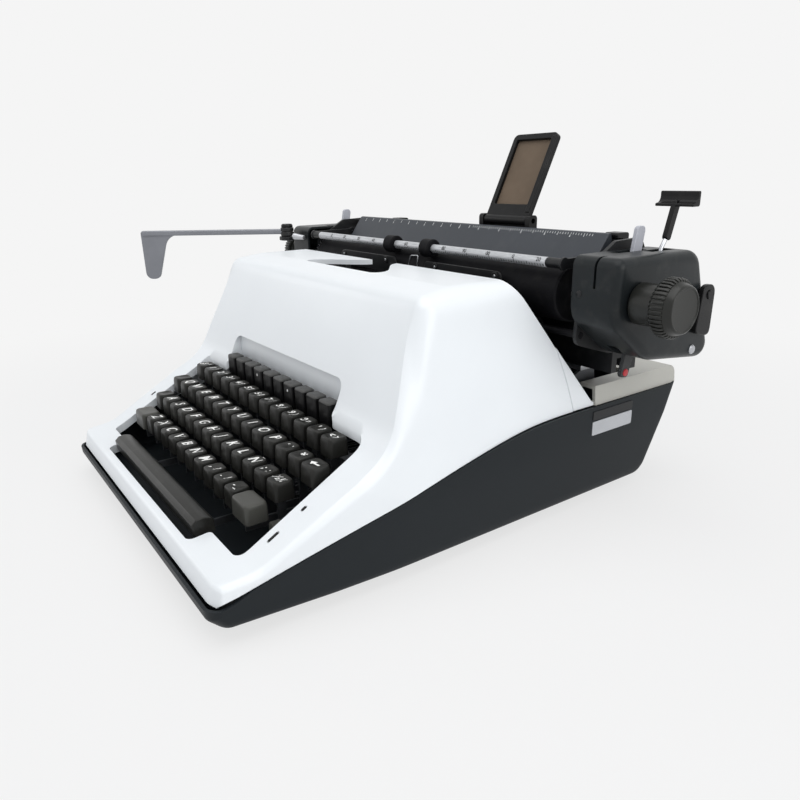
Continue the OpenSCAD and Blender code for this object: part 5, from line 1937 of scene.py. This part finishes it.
    def build_return(self) -> None:
        """The long return lever with its broad paddle and its stacked hub."""
        bar = prism(Axis.X, rectangle((-3.3, 0.4), (3.3, 5.8), 1.2), 4, 158)
        paddle = outline([(106, 5.4, 0.5), (106, 1.2, 0.5), (131, 0.6, 15), (144.5, -46, 7),
                          (159.2, -46, 7), (160, 5.4, 2.5)], 8)
        paddle = prism(Axis.Y, paddle, -1.5, 1.5)
        hub = lathe(Axis.Z, (0, 0), [(-1.6, 3.4), (-1.6, 6.4), (-1.0, 7.0), (2.4, 7.0), (2.8, 6.2),
                                     (3.4, 6.2), (3.8, 7.0), (6.8, 7.0), (7.4, 6.4), (7.4, 3.4)], 40)
        for name, form, finish, nodes in (("return_bar", bar, LEVER, ("return_lever",)),
                                          ("return_paddle", paddle, LEVER, ()),
                                          ("return_hub", hub, HUB, ())):
            placed = form.turned(Axis.Z, self.return_turn).moved(*self.return_at)
            MAKER.piece(name, placed, finish, "return_lever", *nodes, ease=0.5, steps=3, sharp=MOULDED)

    def build_injector(self) -> None:
        """The paper injector: a bent arm with a channel-shaped finger bar."""
        (x0, _, _), (x1, _, top) = box_mm("paper_injector")
        y, z = self.injector_at
        x = self.middle + self.cover_in + 17
        arm = outline([(y + 1.2, 206, 2), (y + 6.4, 204.4, 2), (y + 15, top - 6, 1),
                       (y + 9, top - 6, 1)], 5)
        MAKER.piece("injector_arm", prism(Axis.X, arm, x, x + 4), BLACK, "paper_injector", "paper_injector",
                    ease=0.8, steps=3)
        bend = ((y, z), (y - 1.4, 196), (y - 0.6, 200), (y + 2.2, 204), (y + 5, 208))
        stem = tube([(x + 2, *p) for p in bend], 1.5) + rod(Axis.X, (y, z), x, x + 4, 6.5, 0.4)
        MAKER.piece("injector_stem", stem, BRIGHT, "paper_injector", sharp=MOULDED)
        y0, y1, z0 = y + 8, y + 16, top - 10
        bar = outline([(y0, z0, 0.7), (y1, z0, 1.5), (y1, top, 0.9), (y1 - 2.6, top, 0.9),
                       (y1 - 2.4, z0 + 2.6, 4.5), (y0, z0 + 2.0, 0.9)], 6)
        MAKER.piece("injector_bar", prism(Axis.X, bar, x0, x1), BLACK, "paper_injector", ease=0.6, steps=3)

    def leaning(self, form: Form) -> Form:
        """A form of the paper support, leaned back and set on its hinge."""
        return form.turned(Axis.X, -self.lean).moved(*self.support)

    def build_support(self) -> None:
        """The folding paper support: frame, brown pane and bracket."""
        MAKER.dress("support_bracket", BLACK, 0.6, 3)
        x, y, z = self.support
        sill = block((x - 24, y + 1.9, z - 9.2), (x + 24, y + 4.3, z - 3.6))
        MAKER.piece("support_sill", sill, BLACK, "carriage", ease=0.6)
        half, tall, rim = self.support_half, self.support_tall, self.support_rim
        plate = outline([(-half, -3, 2), (half, -3, 2), (half, tall, 4.5), (-half, tall, 4.5)], 6)
        window = rectangle((-half + rim - 1.5, 13), (half - rim + 0.5, tall - rim + 1), 1.5)
        made = MAKER.mesh("support_frame", self.leaning(prism(Axis.Y, plate, -2.5, 2.5)), BLACK)
        MAKER.cut(made, self.leaning(prism(Axis.Y, window, -6, 6)))
        MAKER.ease(made, 0.7, 3)
        MAKER.fix(made, "paper_support", BLACK, "paper_support")
        rail = block((half - 4.6, -3.4, 6), (half - 0.6, 2.4, tall - 3))
        MAKER.piece("support_rail", self.leaning(rail), BLACK, "paper_support", ease=0.6)
        barrel = rod(Axis.X, (0, 0), -half, half, 4.0)
        MAKER.piece("support_barrel", self.leaning(barrel), BLACK, "paper_support", ease=0.6)
        pane = block((-half + rim - 2.2, 0.6, 12), (half - rim + 1.2, 1.9, tall - rim + 1.8))
        MAKER.piece("support_glass", self.leaning(pane), PANE, "paper_support", "support_pane", ease=0.2)

    def build(self) -> None:
        """Make the whole carriage."""
        self.build_platen()
        self.build_covers()
        self.build_bail()
        self.build_table()
        self.build_levers()
        self.build_support()


@dataclass
class Studio:
    """Floor, light and camera."""

    camera_at: Triple = (0.47286, -0.29785, 0.25011)
    camera_turn: Triple = (71.64548, 0.91168, 54.17852)
    lens_mm: float = 30.52
    sensor_mm: float = 36.0
    backdrop: tuple = (245, 245, 245)
    paper: tuple = (240, 240, 240)
    floor_half: float = 30.0
    floor_glow: float = 0.76
    floor_fade: Pair = (0.3, 0.85)
    sky: tuple = (0.95, 0.97, 1.0, 1.0)
    sky_light: float = 0.42
    lamps: tuple = (
        ("overhead", (0.2, -0.3, 1.6), (0, 0, 0.1), 1.6, 14.5),
        ("front", (-0.5, -1.6, 0.9), (0, 0, 0.12), 1.2, 1.5),
        ("left", (-1.6, -0.9, 0.75), (0, -0.1, 0.1), 0.4, 1.6),
        ("right", (1.7, 0.2, 0.8), (0, 0, 0.12), 1.2, 11.0),
    )

    def build_floor(self) -> None:
        """A pale floor that keeps the shadow near the object and runs out into the backdrop."""
        corners = rectangle((-self.floor_half, -self.floor_half), (self.floor_half, self.floor_half), 0.0)
        data = bpy.data.meshes.new("floor")
        data.from_pydata([(x, y, 0.0) for x, y in corners], [], [(0, 1, 2, 3)])
        floor = bpy.data.objects.new("floor", data)
        bpy.context.scene.collection.objects.link(floor)
        shade = Shade(bpy.data.materials.new("floor_paper"))
        far = shade.node("ShaderNodeVectorMath", {"operation": "LENGTH"}, {0: shade.coords()},
                         output="Value")
        mask = self.floor_glow + far.ramp(*self.floor_fade) * (1 - self.floor_glow)
        paper = shade.node("ShaderNodeBsdfDiffuse", {}, {"Color": linear(self.paper)})
        glow = shade.node("ShaderNodeEmission", {}, {"Color": linear(self.backdrop), "Strength": 1.0})
        shade.close(shade.node("ShaderNodeMixShader", {}, {0: mask * shade.seen(), 1: paper, 2: glow}))
        data.materials.append(shade.owner)

    def build_world(self) -> None:
        """Even surroundings: the backdrop for the eye, a softer level for light."""
        world = bpy.data.worlds.new("studio")
        bpy.context.scene.world = world
        shade = Shade(world)
        light = shade.node("ShaderNodeBackground", {}, {"Color": self.sky, "Strength": self.sky_light})
        back = shade.node("ShaderNodeBackground", {}, {"Color": linear(self.backdrop), "Strength": 1.0})
        shade.close(shade.node("ShaderNodeMixShader", {}, {0: shade.seen(), 1: light, 2: back}))

    def add_lamp(self, name: str, at: Triple, look: Triple, size: float, power: float) -> None:
        """A soft square lamp.

        Args:
            name: Its name.
            at: Its place.
            look: The point that it faces.
            size: Edge of the square.
            power: Watts.
        """
        lamp = bpy.data.lights.new(name, "AREA")
        lamp.size = size
        lamp.energy = power
        holder = bpy.data.objects.new(name, lamp)
        holder.location = at
        holder.rotation_euler = (Vector(look) - Vector(at)).to_track_quat("-Z", "Y").to_euler()
        bpy.context.scene.collection.objects.link(holder)

    def build_camera(self) -> None:
        """The camera at the photograph's place."""
        data = bpy.data.cameras.new("camera")
        data.lens = self.lens_mm
        data.sensor_width = self.sensor_mm
        camera = bpy.data.objects.new("camera", data)
        camera.location = self.camera_at
        camera.rotation_euler = [math.radians(a) for a in self.camera_turn]
        bpy.context.scene.collection.objects.link(camera)
        bpy.context.scene.camera = camera

    def build(self) -> None:
        """Set the stage."""
        self.build_floor()
        self.build_world()
        for lamp in self.lamps:
            self.add_lamp(*lamp)
        self.build_camera()
        bpy.context.scene.view_settings.view_transform = "Standard"


def main() -> None:
    """Build every sub-assembly in order and report each piece."""
    logging.basicConfig(level=logging.INFO, format="%(message)s")
    Studio().build()
    for part in (Casing(), Keyboard(), TypeWorks(), Carriage()):
        before = len(MAKER.made)
        part.build()
        LOG.info("%s: %s", type(part).__name__, ", ".join(p.name for p in MAKER.made[before:]))


if __name__ == "__main__":
    main()
